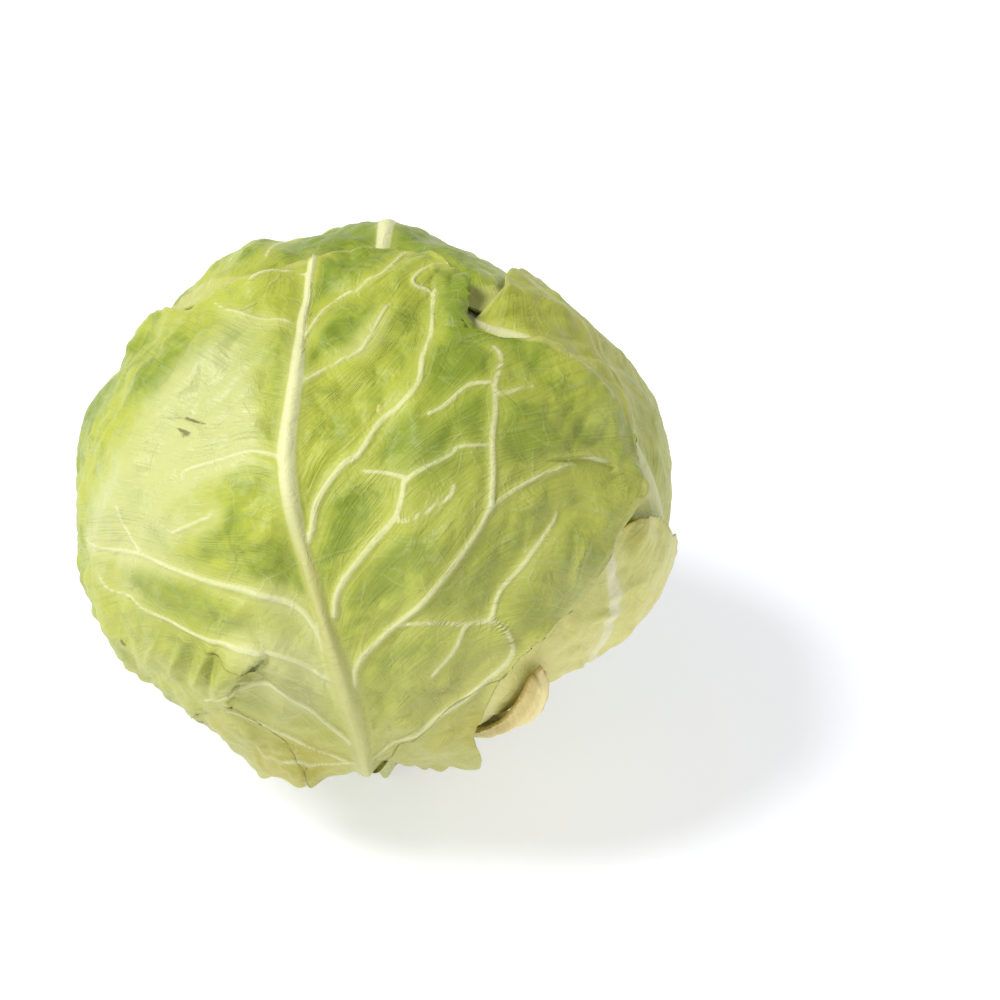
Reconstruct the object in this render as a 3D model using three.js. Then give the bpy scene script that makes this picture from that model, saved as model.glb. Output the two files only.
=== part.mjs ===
// A head of white cabbage that stands on the cut face of its stem. Millimetres, +Z up.
// The origin is the centre of the cut face. -Y is the front, where the largest wrapper leaf lies, and +X its right.
// The leaves lie on each other like the layers of an onion. Each one is a thin closed solid, whose inner face
// follows the height of the heart and of every leaf inside it, and whose ribs stand out of its outer face.
import * as THREE from "three";

// Driving dimensions
const HEART_WIDE = 83.5; // half the width of the tight inner head
const HEART_UP = 75.5; // its centre to its top
const HEART_DOWN = 62; // its centre to its bottom
// Where it is fuller or flatter: azimuth and rise in degrees, height, and width as a share of its radius
const SWELLS = [
  { azimuth: 52, rise: -41, high: -12, wide: 0.5 }, // it grew against something, low at the right
  { azimuth: 98, rise: 12, high: 4.2, wide: 0.25 },
  { azimuth: 122, rise: 36, high: -5.5, wide: 0.42 },
  { azimuth: -112, rise: 26, high: -3.2, wide: 0.4 },
  { azimuth: -101, rise: 14, high: 3.6, wide: 0.2 },
  { azimuth: -88, rise: -12, high: -3, wide: 0.4 },
  { azimuth: -68, rise: -27, high: 2.4, wide: 0.32 },
  { azimuth: -144, rise: 50, high: 2.5, wide: 0.3 },
];
const CENTRE_UP = 90; // the centre above the cut face
const STEM_R = 16; // the stem where it was cut
const LEAF_GAP = 1.3; // air between one leaf and the next
const BLADE = 1.2; // a blade between its veins
const MARGIN = 0.9; // and at its edge
const FLOOR = 1; // the leaves stay this far above what the head stands on
const VEIN_UP = 1.3; // how far side veins stand out
const VEIN_HALF = 0.014; // half the width of a side vein, as a fraction of the midrib
const SPAN = 92; // leaf charts are flat maps: this length on the map is one radian round the head
const DRAPE = [5, 17]; // past a leaf's edge, where the leaf on it starts and ends its step down

// The front leaf is described as it is seen from the front, above the horizon, through a long lens.
const VIEW_RISE = 35; // degrees
const VIEW_FAR = 1100; // from the centre of the head
const VIEW_CENTRE = [378, 504]; // the centre of the head, in pixels of the view
const VIEW_MM = 0.308; // millimetres to a pixel there

const radians = (angle) => (angle * Math.PI) / 180;
const degrees = (angle) => (angle * 180) / Math.PI;
const lerp = (a, b, f) => a + (b - a) * f;
const clamp = (x, low = 0, high = 1) => Math.min(high, Math.max(low, x));
const gauss = (x, width) => Math.exp(-((x / width) ** 2));
const smoothstep = (low, high, x) => {
  const f = clamp((x - low) / (high - low));
  return f * f * (3 - 2 * f);
};

function toward(azimuth, rise) {
  const [a, e] = [radians(azimuth), radians(rise)];
  return new THREE.Vector3(Math.sin(a) * Math.cos(e), -Math.cos(a) * Math.cos(e), Math.sin(e));
}

// Radius of the heart in a direction: two half ellipsoids that meet at the widest level, slightly lumpy.
const swells = SWELLS.map((swell) => ({ ...swell, at: toward(swell.azimuth, swell.rise) }));
function heartRadius(d) {
  const vertical = d.z > 0 ? HEART_UP : HEART_DOWN;
  const plain = 1 / Math.sqrt((d.x ** 2 + d.y ** 2) / HEART_WIDE ** 2 + d.z ** 2 / vertical ** 2);
  const lumps = Math.sin(4.1 * d.x + 1) * Math.cos(3.3 * d.y) + Math.sin(3.7 * d.z - 2.9 * d.x + 0.5);
  const swell = swells.reduce((sum, { at, high, wide }) => sum + high * gauss(d.distanceTo(at), wide), 0);
  return plain + 0.7 * lumps + swell;
}

// A flat map of the head about one direction. Distances and bearings from its middle are true.
class Chart {
  constructor(azimuth, rise) {
    this.out = toward(azimuth, rise);
    this.right = toward(azimuth + 90, 0);
    this.up = new THREE.Vector3().crossVectors(this.out, this.right);
  }

  direction([x, y]) {
    const far = Math.hypot(x, y);
    const side = far > 0 ? Math.sin(far / SPAN) / far : 1 / SPAN;
    return new THREE.Vector3()
      .addScaledVector(this.out, Math.cos(far / SPAN))
      .addScaledVector(this.right, x * side)
      .addScaledVector(this.up, y * side);
  }

  place(d) {
    const [x, y] = [d.dot(this.right), d.dot(this.up)];
    const side = Math.hypot(x, y);
    const far = Math.atan2(side, d.dot(this.out)) * SPAN;
    return side > 0 ? [(x * far) / side, (y * far) / side] : [0, 0];
  }
}

// Distance from a point to a closed outline, less than nothing inside it.
function outside([x, y], outline) {
  let nearest = Infinity;
  let inside = false;
  outline.forEach(([bx, by], i) => {
    const [ax, ay] = outline[(i || outline.length) - 1];
    const [dx, dy] = [bx - ax, by - ay];
    const f = clamp(((x - ax) * dx + (y - ay) * dy) / (dx * dx + dy * dy || 1));
    nearest = Math.min(nearest, Math.hypot(x - ax - f * dx, y - ay - f * dy));
    if (ay > y !== by > y && x < ax + ((y - ay) / dy) * dx) inside = !inside;
  });
  return inside ? -nearest : nearest;
}

// A smooth curve through points of a map, as a function of the fraction of its length.
function curve(points) {
  const vectors = points.map(([x, y]) => new THREE.Vector3(x, y, 0));
  const path = new THREE.CatmullRomCurve3(vectors, false, "catmullrom");
  return (f) => path.getPointAt(clamp(f)).toArray().slice(0, 2);
}

const laid = []; // the leaves on the head so far, from the inside out

// Height, in a direction, of everything that lies inside the first few leaves.
function heightUnder(count, d) {
  const inner = laid.slice(0, count);
  return inner.reduce((sum, leaf) => sum + leaf.lift(d), heartRadius(d) + LEAF_GAP);
}

// A wrapper leaf. m runs from 0 at the cut base to 1 at the tip, t from -1 at its left edge to 1 at its right.
class Leaf {
  constructor(name, options) {
    const usual = {
      azimuth: 0, // of its middle, in degrees round the head from the front
      rise: 0, // of its middle, in degrees above the centre
      reach: 92, // millimetres on the chart from its middle to its tip
      halfWide: 98, // at its widest
      baseHalf: 12, // half the width of its base
      bend: 5, // sideways bow of its midrib
      ribUp: 5, // how far the midrib stands out at the base
      ribHalf: 9, // half the width of the midrib there
      blade: BLADE,
      flare: 2, // how far its free edge waves away from the head
      waves: 5, // along each edge
      veins: [0.16, 0.28, 0.41, 0.55, 0.7], // where side veins leave the midrib
      stagger: 0.055, // how much later they leave it on the right
      columns: 4, // steps from the foot of the midrib to an edge
      lastRow: 0.955, // rows stop just short of the point of the tip
      colour: 0xb5c063,
    };
    Object.assign(this, usual, options, { name, level: laid.length });
    this.chart = new Chart(this.azimuth, this.rise);
    this.pole = -radians(90 + this.rise) * SPAN; // the stem's axis on the chart
    const height = heightUnder(this.level, this.chart.direction([0, this.pole + STEM_R]));
    this.hug = SPAN * Math.asin((STEM_R + 1.2) / height); // from that axis to the base
    this.veinsLeft = this.veins;
    this.veinsRight = this.veins.map((m) => m + this.stagger);
    laid.push(this);
  }

  rib(m) {
    return [this.bend * Math.sin(Math.PI * m), lerp(this.pole + this.hug, this.reach, m ** 1.5)];
  }

  edge(m, side) {
    const swell = Math.sin(Math.PI * m) ** (1.8 - 1.1 * m);
    const wave = 1 + 0.03 * Math.sin(2 * Math.PI * this.waves * m + side + this.azimuth);
    const x = this.baseHalf * (1 - m) ** 2 + this.halfWide * swell * wave;
    const along = ((1 - Math.cos(Math.PI * m)) / 2) * (1 - 0.1 * m ** 4);
    return [side * x, lerp(this.pole + this.hug, this.reach, along)];
  }

  point(m, t) {
    const [ribX, ribY] = this.rib(m);
    const [edgeX, edgeY] = this.edge(m, t < 0 ? -1 : 1);
    const x = lerp(ribX, edgeX, Math.abs(t));
    const clasp = this.hug - Math.sqrt(Math.max(this.hug ** 2 - x ** 2, 0));
    return [x, lerp(ribY, edgeY, Math.abs(t) ** 1.4) - clasp * (1 - m) ** 12];
  }

  get outline() {
    const steps = Array.from({ length: 25 }, (_, i) => (i / 24) * this.lastRow);
    this.ring ??= [
      ...steps.map((m) => this.point(m, 1)),
      ...[0.5, 0, -0.5].map((t) => this.point(this.lastRow, t)),
      ...steps.map((m) => this.point(m, -1)).reverse(),
      this.point(0, 0),
    ];
    return this.ring;
  }

  ribHeight(m) {
    return this.ribUp * (1 - m) ** 1.3 + 0.8;
  }

  ribWidth(m) {
    return this.ribHalf * (1 - m) + 2;
  }

  bladeThick(m) {
    return this.blade + 2 * clamp(1 - 4 * m) ** 2;
  }

  // How far this leaf lifts whatever lies on it: nothing where it isn't.
  lift(d) {
    const cover = this.cover(d);
    if (cover === 0) return 0;
    const [x, y] = this.chart.place(d);
    const m = clamp((y - this.pole - this.hug) / (this.reach - this.pole - this.hug)) ** (1 / 1.5);
    const rib = 1.15 * this.ribHeight(m) * gauss(x - this.rib(m)[0], 2.4 * this.ribWidth(m));
    return cover * (this.bladeThick(m) + Math.max(VEIN_UP, rib) + LEAF_GAP);
  }

  cover(d) {
    return 1 - smoothstep(...DRAPE, outside(this.chart.place(d), this.outline));
  }

  // Share of a direction that no later leaf holds down.
  free(d) {
    return laid.slice(this.level + 1).reduce((share, leaf) => share * (1 - leaf.cover(d)), 1);
  }

  // The free edge waves away from the head.
  wave(m, t) {
    const near = Math.max(smoothstep(0.7, 1, Math.abs(t)), smoothstep(0.85, this.lastRow, m));
    const swing = 0.55 + 0.45 * Math.sin(2 * Math.PI * this.waves * m + 2 * Math.sign(t) + this.azimuth);
    return this.flare * near * swing * smoothstep(0.1, 0.5, m);
  }

  thickness(m, t, onVein) {
    const [a, b] = [this.point(m, t), this.rib(m)];
    const across = Math.hypot(a[0] - b[0], a[1] - b[1]);
    const near = Math.max(smoothstep(0.7, 1, Math.abs(t)), smoothstep(0.9, this.lastRow, m));
    const rib = this.ribHeight(m) * gauss(across, this.ribWidth(m) / 1.2);
    const vein = onVein ? VEIN_UP * (1 - Math.abs(t)) ** 0.6 : 0;
    return lerp(this.bladeThick(m), MARGIN, near) + Math.max(rib, vein);
  }

  // Rows across the leaf: three for each side vein, at its two feet and its crest, and others between them.
  rows() {
    const veins = [
      ...this.veinsLeft.map((m) => ({ m, left: true })),
      ...this.veinsRight.map((m) => ({ m, right: true })),
    ].sort((a, b) => a.m - b.m);
    const rows = [{ m: 0 }];
    for (const vein of [...veins, { m: this.lastRow }]) {
      const last = rows.at(-1);
      if (vein.m === last.m) {
        rows.at(-2).left = rows.at(-2).right = true; // a pair of veins that leave the midrib together
        continue;
      }
      const between = Math.round((vein.m - last.m) / 0.055);
      for (let i = 1; i < between; i++) rows.push({ m: lerp(last.m, vein.m, i / between) });
      const feet = vein.m === this.lastRow ? [0] : [-1, 0, 1];
      rows.push(...feet.map((foot) => ({ ...vein, foot })));
    }
    return rows;
  }

  mesh() {
    const [outer, inner] = [[], []];
    const rows = this.rows();
    const half = this.columns + 1;
    for (const row of rows) {
      for (let j = -half; j <= half; j++) {
        const reach = this.point(row.m, Math.sign(j) || 1);
        const wide = Math.hypot(reach[0] - this.rib(row.m)[0], reach[1] - this.rib(row.m)[1]);
        const foot = clamp(this.ribWidth(row.m) / wide, 0.05, 0.45);
        const t = j && Math.sign(j) * lerp(foot, 1, (Math.abs(j) - 1) / this.columns);
        const m = row.m + (row.foot ?? 0) * VEIN_HALF * (1 - 0.55 * Math.abs(t));
        const d = this.chart.direction(this.point(m, t));
        const onVein = row.foot === 0 && (t < 0 ? row.left : row.right);
        const thick = this.thickness(m, t, onVein);
        const waved = heightUnder(this.level, d) + this.wave(m, t) * this.free(d);
        const low = Math.min(waved, floorBelow(d) - thick);
        inner.push(d.clone().multiplyScalar(low));
        outer.push(d.clone().multiplyScalar(low + thick));
      }
    }
    return skin(this.name, outer, inner, rows.length, 2 * half + 1, this.colour);
  }
}

// How far a direction can be followed down before it meets the floor.
function floorBelow(d) {
  return d.z < 0 ? (CENTRE_UP - FLOOR) / -d.z : Infinity;
}

// A closed solid between two grids of points, with a rim round their edge.
function skin(name, outer, inner, rows, columns, colour) {
  const faces = [];
  const under = outer.length;
  for (let r = 0; r < rows - 1; r++) {
    for (let c = 0; c < columns - 1; c++) {
      const [a, b] = [r * columns + c, r * columns + c + 1];
      const [x, y] = [a + columns, b + columns];
      const long = outer[a].distanceTo(outer[y]) > outer[b].distanceTo(outer[x]);
      const split = long ? [a, b, x, b, y, x] : [a, b, y, a, y, x];
      faces.push(...split, ...split.map((v) => under + v).reverse());
    }
  }
  const rim = [];
  for (let c = 0; c < columns - 1; c++) rim.push(c);
  for (let r = 0; r < rows - 1; r++) rim.push(r * columns + columns - 1);
  for (let c = columns - 1; c > 0; c--) rim.push((rows - 1) * columns + c);
  for (let r = rows - 1; r > 0; r--) rim.push(r * columns);
  rim.forEach((a, i) => {
    const b = rim[(i + 1) % rim.length];
    faces.push(b, a, under + a, b, under + a, under + b);
  });
  const geometry = new THREE.BufferGeometry().setFromPoints([...outer, ...inner]).setIndex(faces);
  return solid(name, geometry, colour);
}

function solid(name, geometry, colour, roughness = 0.5) {
  geometry.computeVertexNormals();
  const material = new THREE.MeshStandardMaterial({ color: colour, roughness, metalness: 0 });
  const mesh = new THREE.Mesh(geometry, material);
  mesh.name = name;
  return mesh;
}

// The front leaf: its midrib and its rows are drawn as they are seen from the front.
class FrontLeaf extends Leaf {
  constructor(name, options) {
    super(name, { rise: VIEW_RISE, lastRow: 1, columns: 6, ...options });
    const middle = [this.byStem(0), behind(270, 101), ...MIDRIB.map((pixel) => this.seen(pixel))];
    this.ribCurve = curve(middle);
    this.guides = { left: this.guidesOf(LEFT_ROWS), right: this.guidesOf(RIGHT_ROWS) };
    this.veinsLeft = this.guides.left.filter((g) => g.vein).map((g) => g.m);
    this.veinsRight = this.guides.right.filter((g) => g.vein).map((g) => g.m);
  }

  // Where the leaf meets the side of the stem, level with its cut, some degrees round it from the front.
  byStem(turn) {
    const slope = Math.atan2(STEM_R + 1.2, CENTRE_UP - FLOOR - this.bladeThick(0) - this.ribHeight(0));
    return this.chart.place(toward(turn, -90 + degrees(slope)));
  }

  // Where something that shows at a pixel of the view lies on the chart.
  seen([px, py]) {
    const wide = [(px - VIEW_CENTRE[0]) * VIEW_MM, (VIEW_CENTRE[1] - py) * VIEW_MM];
    let place;
    let radius = SPAN;
    let depth = 0;
    for (let i = 0; i < 12; i++) {
      const [x, y] = wide.map((v) => (v * (VIEW_FAR - depth)) / VIEW_FAR);
      const side = Math.hypot(x, y);
      const angle = Math.asin(clamp(side / radius, 0, 0.998));
      place = [(x / side) * angle * SPAN, (y / side) * angle * SPAN];
      radius = heightUnder(this.level, this.chart.direction(place)) + BLADE;
      depth = radius * Math.cos(angle);
    }
    return place;
  }

  guidesOf(rows) {
    return rows.map(({ from, vein, to = [], past = [], stem }) => {
      const m = typeof from === "number" ? from : this.nearest(this.seen(from));
      const hidden = stem ? [this.byStem(stem)] : past.map(([bearing, angle]) => behind(bearing, angle));
      return { m, vein, at: curve([this.rib(m), ...to.map((pixel) => this.seen(pixel)), ...hidden]) };
    });
  }

  // Fraction along the midrib that is nearest to a place.
  nearest([x, y]) {
    const steps = Array.from({ length: 801 }, (_, i) => i / 800);
    const far = (m) => Math.hypot(this.rib(m)[0] - x, this.rib(m)[1] - y);
    return steps.reduce((best, m) => (far(m) < far(best) ? m : best));
  }

  rib(m) {
    return this.ribCurve(m);
  }

  point(m, t) {
    const guides = t < 0 ? this.guides.left : this.guides.right;
    const k = clamp(guides.findLastIndex((g) => g.m <= m), 0, guides.length - 2);
    const f = (m - guides[k].m) / (guides[k + 1].m - guides[k].m);
    const four = [k - 1, k, k + 1, k + 2].map((n) => guides[clamp(n, 0, guides.length - 1)]);
    const mix = (fraction) => spline(four.map((g) => g.at(fraction)), f);
    const [row, start, rib] = [mix(Math.abs(t)), mix(0), this.rib(m)];
    return row.map((v, axis) => v + (rib[axis] - start[axis]) * (1 - Math.abs(t)));
  }

  // Beside its usual waves it stands away from the head in a few places, and its base reaches down the stem.
  wave(m, t) {
    const [x, y] = this.point(m, t);
    const d = this.chart.direction([x, y]);
    const base = floorBelow(d) - this.bladeThick(0) - this.ribHeight(0) - heightUnder(this.level, d);
    return this.stands.reduce((sum, { at, high, wide }) => {
      const [sx, sy] = typeof at[0] === "number" ? behind(...at) : this.seen(at[0]);
      return sum + high * gauss(Math.hypot(x - sx, y - sy), wide);
    }, super.wave(m, t) + (m < 0.1 ? base * (1 - smoothstep(0, 0.1, m)) : 0));
  }
}

// Catmull-Rom through the middle two of four points.
function spline(four, f) {
  return [0, 1].map((axis) => {
    const [a, b, c, d] = four.map((p) => p[axis]);
    return b + (f / 2) * (c - a + f * (2 * a - 5 * b + 4 * c - d + f * (3 * (b - c) + d - a)));
  });
}

// A place on the front chart by its clock bearing, in degrees from the right, and its angle from the view.
function behind(bearing, angle) {
  const far = radians(angle) * SPAN;
  return [far * Math.cos(radians(bearing)), far * Math.sin(radians(bearing))];
}

// The front leaf as it is seen, in pixels of the view, from its base to its tip.
const MIDRIB = [
  [371, 764],
  [366, 748],
  [357, 726],
  [346, 692],
  [335, 655],
  [321, 610],
  [307, 560],
  [297, 515],
  [290, 475],
  [290, 440],
  [296, 400],
  [303, 360],
  [309, 320],
  [316, 285],
  [320, 257],
];

// Rows run from a point on the midrib to the edge. What lies past the horizon is given by bearing and angle.
const LEFT_ROWS = [
  { from: 0, stem: -36 },
  { from: 0.06, past: [[262, 106], [257, 101]] },
  { from: [371, 764], to: [[353, 766], [338, 776], [322, 786]] },
  { from: [366, 755], vein: true, to: [[345, 756], [318, 758], [287, 755], [262, 764]] },
  {
    from: [360, 741],
    vein: true,
    to: [[329, 751], [302, 740], [277, 727], [253, 715], [223, 702], [200, 709]],
  },
  {
    from: [354, 724],
    vein: true,
    to: [[337, 728], [310, 707], [277, 685], [258, 677], [240, 681], [202, 692], [176, 696]],
  },
  {
    from: [339, 668],
    vein: true,
    to: [[320, 668], [262, 645], [201, 630], [168, 612], [129, 586]],
    past: [[198, 92]],
  },
  {
    from: [325, 625],
    vein: true,
    to: [[303, 608], [277, 593], [212, 575], [142, 545], [108, 539]],
    past: [[188, 97]],
  },
  {
    from: [289, 458],
    vein: true,
    to: [[254, 446], [223, 453], [188, 463], [130, 450]],
    past: [[168, 98]],
  },
  { from: [297, 395], to: [[250, 380], [200, 350], [150, 320]] },
  { from: [309, 325], vein: true, to: [[284, 316], [260, 314], [237, 306], [200, 302]] },
  { from: 1, to: [[300, 258], [274, 265], [250, 271]] },
];
const RIGHT_ROWS = [
  { from: 0, stem: 22 },
  { from: 0.06, past: [[278, 106], [283, 101]] },
  { from: [371, 764], to: [[400, 762], [432, 761], [470, 756]] },
  { from: [368, 755], to: [[400, 749], [440, 738], [468, 728]] },
  { from: [365, 746], vein: true, to: [[397, 735], [432, 714], [466, 693], [500, 680]] },
  { from: [357, 724], to: [[400, 690], [450, 655], [500, 632], [545, 632]] },
  { from: [353, 710], to: [[400, 655], [445, 618], [490, 600], [540, 592], [583, 604]] },
  { from: [349, 699], to: [[395, 637], [450, 590], [505, 550], [560, 538], [612, 548]] },
  {
    from: [346, 690],
    vein: true,
    to: [[374, 638], [409, 609], [450, 565], [493, 505], [533, 480], [580, 462], [642, 490]],
  },
  {
    from: [329, 636],
    vein: true,
    to: [[340, 582], [372, 540], [395, 514], [403, 487], [453, 452], [492, 445], [634, 425]],
  },
  {
    from: [314, 585],
    to: [[340, 520], [380, 470], [430, 425], [480, 390], [530, 360], [568, 348]],
  },
  {
    from: [303, 542],
    vein: true,
    to: [[325, 485], [360, 451], [403, 402], [423, 372], [434, 336], [456, 326], [480, 332]],
  },
  { from: [292, 445], to: [[320, 420], [370, 370], [405, 330], [432, 290], [478, 280]] },
  { from: [300, 385], to: [[340, 359], [373, 334], [395, 302], [420, 275], [455, 262]] },
  { from: [309, 345], vein: true, to: [[330, 305], [360, 289], [390, 269], [425, 249]] },
  { from: 1, to: [[345, 251], [368, 248]] },
];
const STANDS = [
  { at: [257, 88], high: 13, wide: 42 }, // the lobe at the left of its base
  { at: [238, 88], high: 5, wide: 22 },
  { at: [[472, 750]], high: 13, wide: 16 }, // the frayed lobe at the right of its base
  { at: [[618, 485]], high: 2.5, wide: 12 }, // a curled part of the right edge
  { at: [[478, 322]], high: 3, wide: 8 }, // a lifted corner near the top
];

const YELLOWING = 0xc9c672;
new Leaf("leaf_inner_left", { azimuth: -132, reach: 125 });
new Leaf("leaf_inner_right", { azimuth: 128, reach: 118, bend: -6 });
new Leaf("leaf_left", {
  azimuth: -84,
  reach: 122,
  halfWide: 92,
  bend: 7,
  veins: [0.15, 0.25, 0.36, 0.47, 0.59, 0.72],
  columns: 5,
});
new Leaf("leaf_back", { azimuth: 176, rise: 5, reach: 146, bend: -4, columns: 5, flare: 1 });
new Leaf("leaf_right", { azimuth: 70, reach: 124, halfWide: 92, flare: 0.8 });
new Leaf("leaf_low_right", {
  azimuth: 50,
  rise: -20,
  reach: 70,
  halfWide: 50,
  baseHalf: 8,
  ribUp: 3,
  flare: 0.8,
  waves: 6,
  veins: [0.2, 0.38, 0.58],
  colour: YELLOWING,
});
new Leaf("leaf_stub", {
  azimuth: 30,
  rise: -35,
  reach: 62,
  halfWide: 5.5,
  baseHalf: 5,
  bend: 6,
  blade: 4,
  ribUp: 0.8,
  ribHalf: 3,
  flare: 0,
  veins: [],
  columns: 3,
  colour: YELLOWING,
});
new FrontLeaf("leaf_front", { flare: 1, ribUp: 4.5, ribHalf: 5, stands: STANDS, colour: 0xa9bb52 });

// The tight inner head. Shallow folds run over it where the leaves inside it overlap.
function heart() {
  const geometry = new THREE.SphereGeometry(1, 40, 24).rotateX(Math.PI / 2);
  const position = geometry.getAttribute("position");
  for (let i = 0; i < position.count; i++) {
    const d = new THREE.Vector3().fromBufferAttribute(position, i);
    const turn = Math.atan2(d.y, d.x) * 3 + 5 * d.z;
    const fold = 1.2 * Math.abs(Math.sin(turn)) * (1 - d.z ** 2) * smoothstep(-0.9, -0.2, d.z);
    d.multiplyScalar(heartRadius(d) - fold);
    position.setXYZ(i, d.x, d.y, d.z);
  }
  return solid("heart", geometry, 0xd3d68c);
}

// The cut stem, up to just under the heart, with scars where earlier leaves grew.
function stem() {
  const top = CENTRE_UP - HEART_DOWN - 2.5;
  const profile = [
    [0, 0],
    [STEM_R - 1, 0],
    [STEM_R - 0.2, 0.8],
    [STEM_R, 4],
    [STEM_R - 0.8, 9],
    [STEM_R - 1.5, top],
    [0, top],
  ].map(([r, z]) => new THREE.Vector2(r, z));
  const geometry = new THREE.LatheGeometry(profile, 24).rotateX(Math.PI / 2);
  return solid("stem", geometry, 0xd8d3a8, 0.7);
}

const head = new THREE.Group();
head.position.z = CENTRE_UP;
head.add(heart(), ...laid.map((leaf) => leaf.mesh()));

const cabbage = new THREE.Group();
cabbage.add(head, stem());

export default cabbage;
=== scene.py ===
"""A head of white cabbage that stands on its cut stem on a pale studio floor.

The leaves lie on each other like the layers of an onion. Each one is drawn on its own flat chart of the
head, and its height is that of everything inside it. Lengths are in millimetres from the head's centre until
a mesh is made.
"""
import logging
import math
from collections.abc import Callable
from dataclasses import dataclass, field
from enum import Enum

import bpy
import numpy as np
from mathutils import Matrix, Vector


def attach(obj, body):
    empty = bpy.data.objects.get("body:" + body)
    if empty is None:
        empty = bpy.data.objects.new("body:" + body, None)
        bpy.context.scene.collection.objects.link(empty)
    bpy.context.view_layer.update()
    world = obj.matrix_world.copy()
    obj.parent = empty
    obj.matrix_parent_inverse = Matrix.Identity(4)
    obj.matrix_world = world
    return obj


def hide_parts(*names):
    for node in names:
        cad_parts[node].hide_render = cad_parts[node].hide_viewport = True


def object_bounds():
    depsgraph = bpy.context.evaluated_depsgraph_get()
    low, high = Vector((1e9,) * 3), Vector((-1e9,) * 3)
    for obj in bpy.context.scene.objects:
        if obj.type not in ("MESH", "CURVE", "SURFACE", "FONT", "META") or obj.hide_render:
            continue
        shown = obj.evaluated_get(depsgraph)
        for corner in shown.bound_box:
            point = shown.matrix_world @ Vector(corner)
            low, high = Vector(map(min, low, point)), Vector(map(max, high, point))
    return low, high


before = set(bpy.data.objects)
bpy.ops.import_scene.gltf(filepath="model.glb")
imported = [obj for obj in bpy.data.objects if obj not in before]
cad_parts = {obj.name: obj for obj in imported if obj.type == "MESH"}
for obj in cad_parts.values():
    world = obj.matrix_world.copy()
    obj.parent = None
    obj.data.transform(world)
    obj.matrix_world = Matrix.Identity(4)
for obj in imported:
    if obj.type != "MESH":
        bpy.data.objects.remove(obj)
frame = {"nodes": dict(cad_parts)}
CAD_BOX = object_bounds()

log = logging.getLogger("cabbage")

Array = np.ndarray
Pixels = tuple[tuple[float, float], ...]
Colour = tuple[float, float, float]

CENTRE_UP = 90.0  # the head's centre above the cut face of its stem
STEM_R = 16.0
LEAF_GAP = 1.3  # air between one leaf and the next
BLADE = 1.2
MARGIN = 0.9
FLOOR = 1.0  # the leaves stay this far above what the head stands on
VEIN_UP = 1.3
SPAN = 92.0  # this length on a chart is one radian round the head
DRAPE = (5.0, 17.0)  # past a leaf's edge, where the leaf on it starts and ends its step down
NEAR = 14.0  # how far from a vein its nearness is worked out
THIN = 0.6  # a stroke whose half width is no more than this counts as a twig
FAR = 9.0  # a distance in half widths that is well past a vein
VEIN_HALF = (1.5, 0.45)
FORK_HALF = (0.95, 0.65)
FORK_HIGH = (0.6, 0.2)
TWIG_HALF = (0.5, 0.3)
TWIG_HIGH = (0.16, 0.06)
TWIG_GAP = 12.0
TWIG_STEPS = 7
COARSE = 4  # the inner face of a leaf has one point for each of these along its outer face
GROOVE = -0.8  # no groove is deeper than this
CLEAR = 0.4  # a leaf's outer face stays this far above the floor
METRES = 0.001
HAIR = 0.00001  # in metres: how far the pieces stay inside the box of the solids
TINY = 1e-12


class Seed(Enum):
    """The random fields of the relief, each with its own number."""

    HEART = 3
    PUFF = 5
    STEM = 8
    MARGIN = 11
    FINE_MARGIN = 12
    SMALL_PUFF = 25
    TWIGS = 40
    CREASE = 45


def toward(azimuth: float, rise: float) -> Array:
    """A direction from the head's centre.

    Args:
        azimuth: degrees round the head, from the front to its right.
        rise: degrees above the level of the centre.

    Returns:
        A unit vector.
    """
    a, e = math.radians(azimuth), math.radians(rise)
    return np.array([math.sin(a) * math.cos(e), -math.cos(a) * math.cos(e), math.sin(e)])


def gauss(x: Array, width: float | Array) -> Array:
    """A bell curve that is 1 at nothing and falls to 1/e at the width."""
    return np.exp(-((x / width) ** 2))


def smoothstep(low: float, high: float, x: Array | float) -> Array:
    """A smooth rise from 0 at one value to 1 at another."""
    f = np.clip((np.asarray(x, float) - low) / (high - low), 0, 1)
    return f * f * (3 - 2 * f)


def lerp(a: Array | float, b: Array | float, f: Array | float) -> Array | float:
    """The value part of the way from one to another."""
    return a + (b - a) * f


def length(xy: Array) -> Array:
    """Lengths of vectors in the rows of an array."""
    return np.sqrt((xy**2).sum(-1))


def ripple(d: Array, wave: float, seed: Seed, level: int = 0) -> Array:
    """A smooth random field over the head, about -1 to 1.

    Args:
        d: directions or places, one in each row.
        wave: how long its waves are, in the unit of d.
        seed: which field.
        level: which leaf it is for, counted from the inside.

    Returns:
        One value for each row.
    """
    random = np.random.default_rng(seed.value + level)
    total = np.zeros(len(d))
    for _ in range(9):
        ahead = random.normal(size=d.shape[1])
        ahead *= 2 * math.pi / (wave * np.linalg.norm(ahead)) * random.uniform(0.7, 1.4)
        total += np.sin(d @ ahead + random.uniform(0, 2 * math.pi))
    return total / 3.2


def between(a: Array, b: Array, c: Array, d: Array, f: Array) -> Array:
    """Points part of the way from b to c on the smooth curve through four points.

    Args:
        a: the first point, before the piece.
        b: where the piece starts.
        c: where it ends.
        d: the last point, past the piece.
        f: how far along the piece, from 0 to 1.

    Returns:
        The points.
    """
    return b + f / 2 * (c - a + f * (2 * a - 5 * b + 4 * c - d + f * (3 * (b - c) + d - a)))


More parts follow.
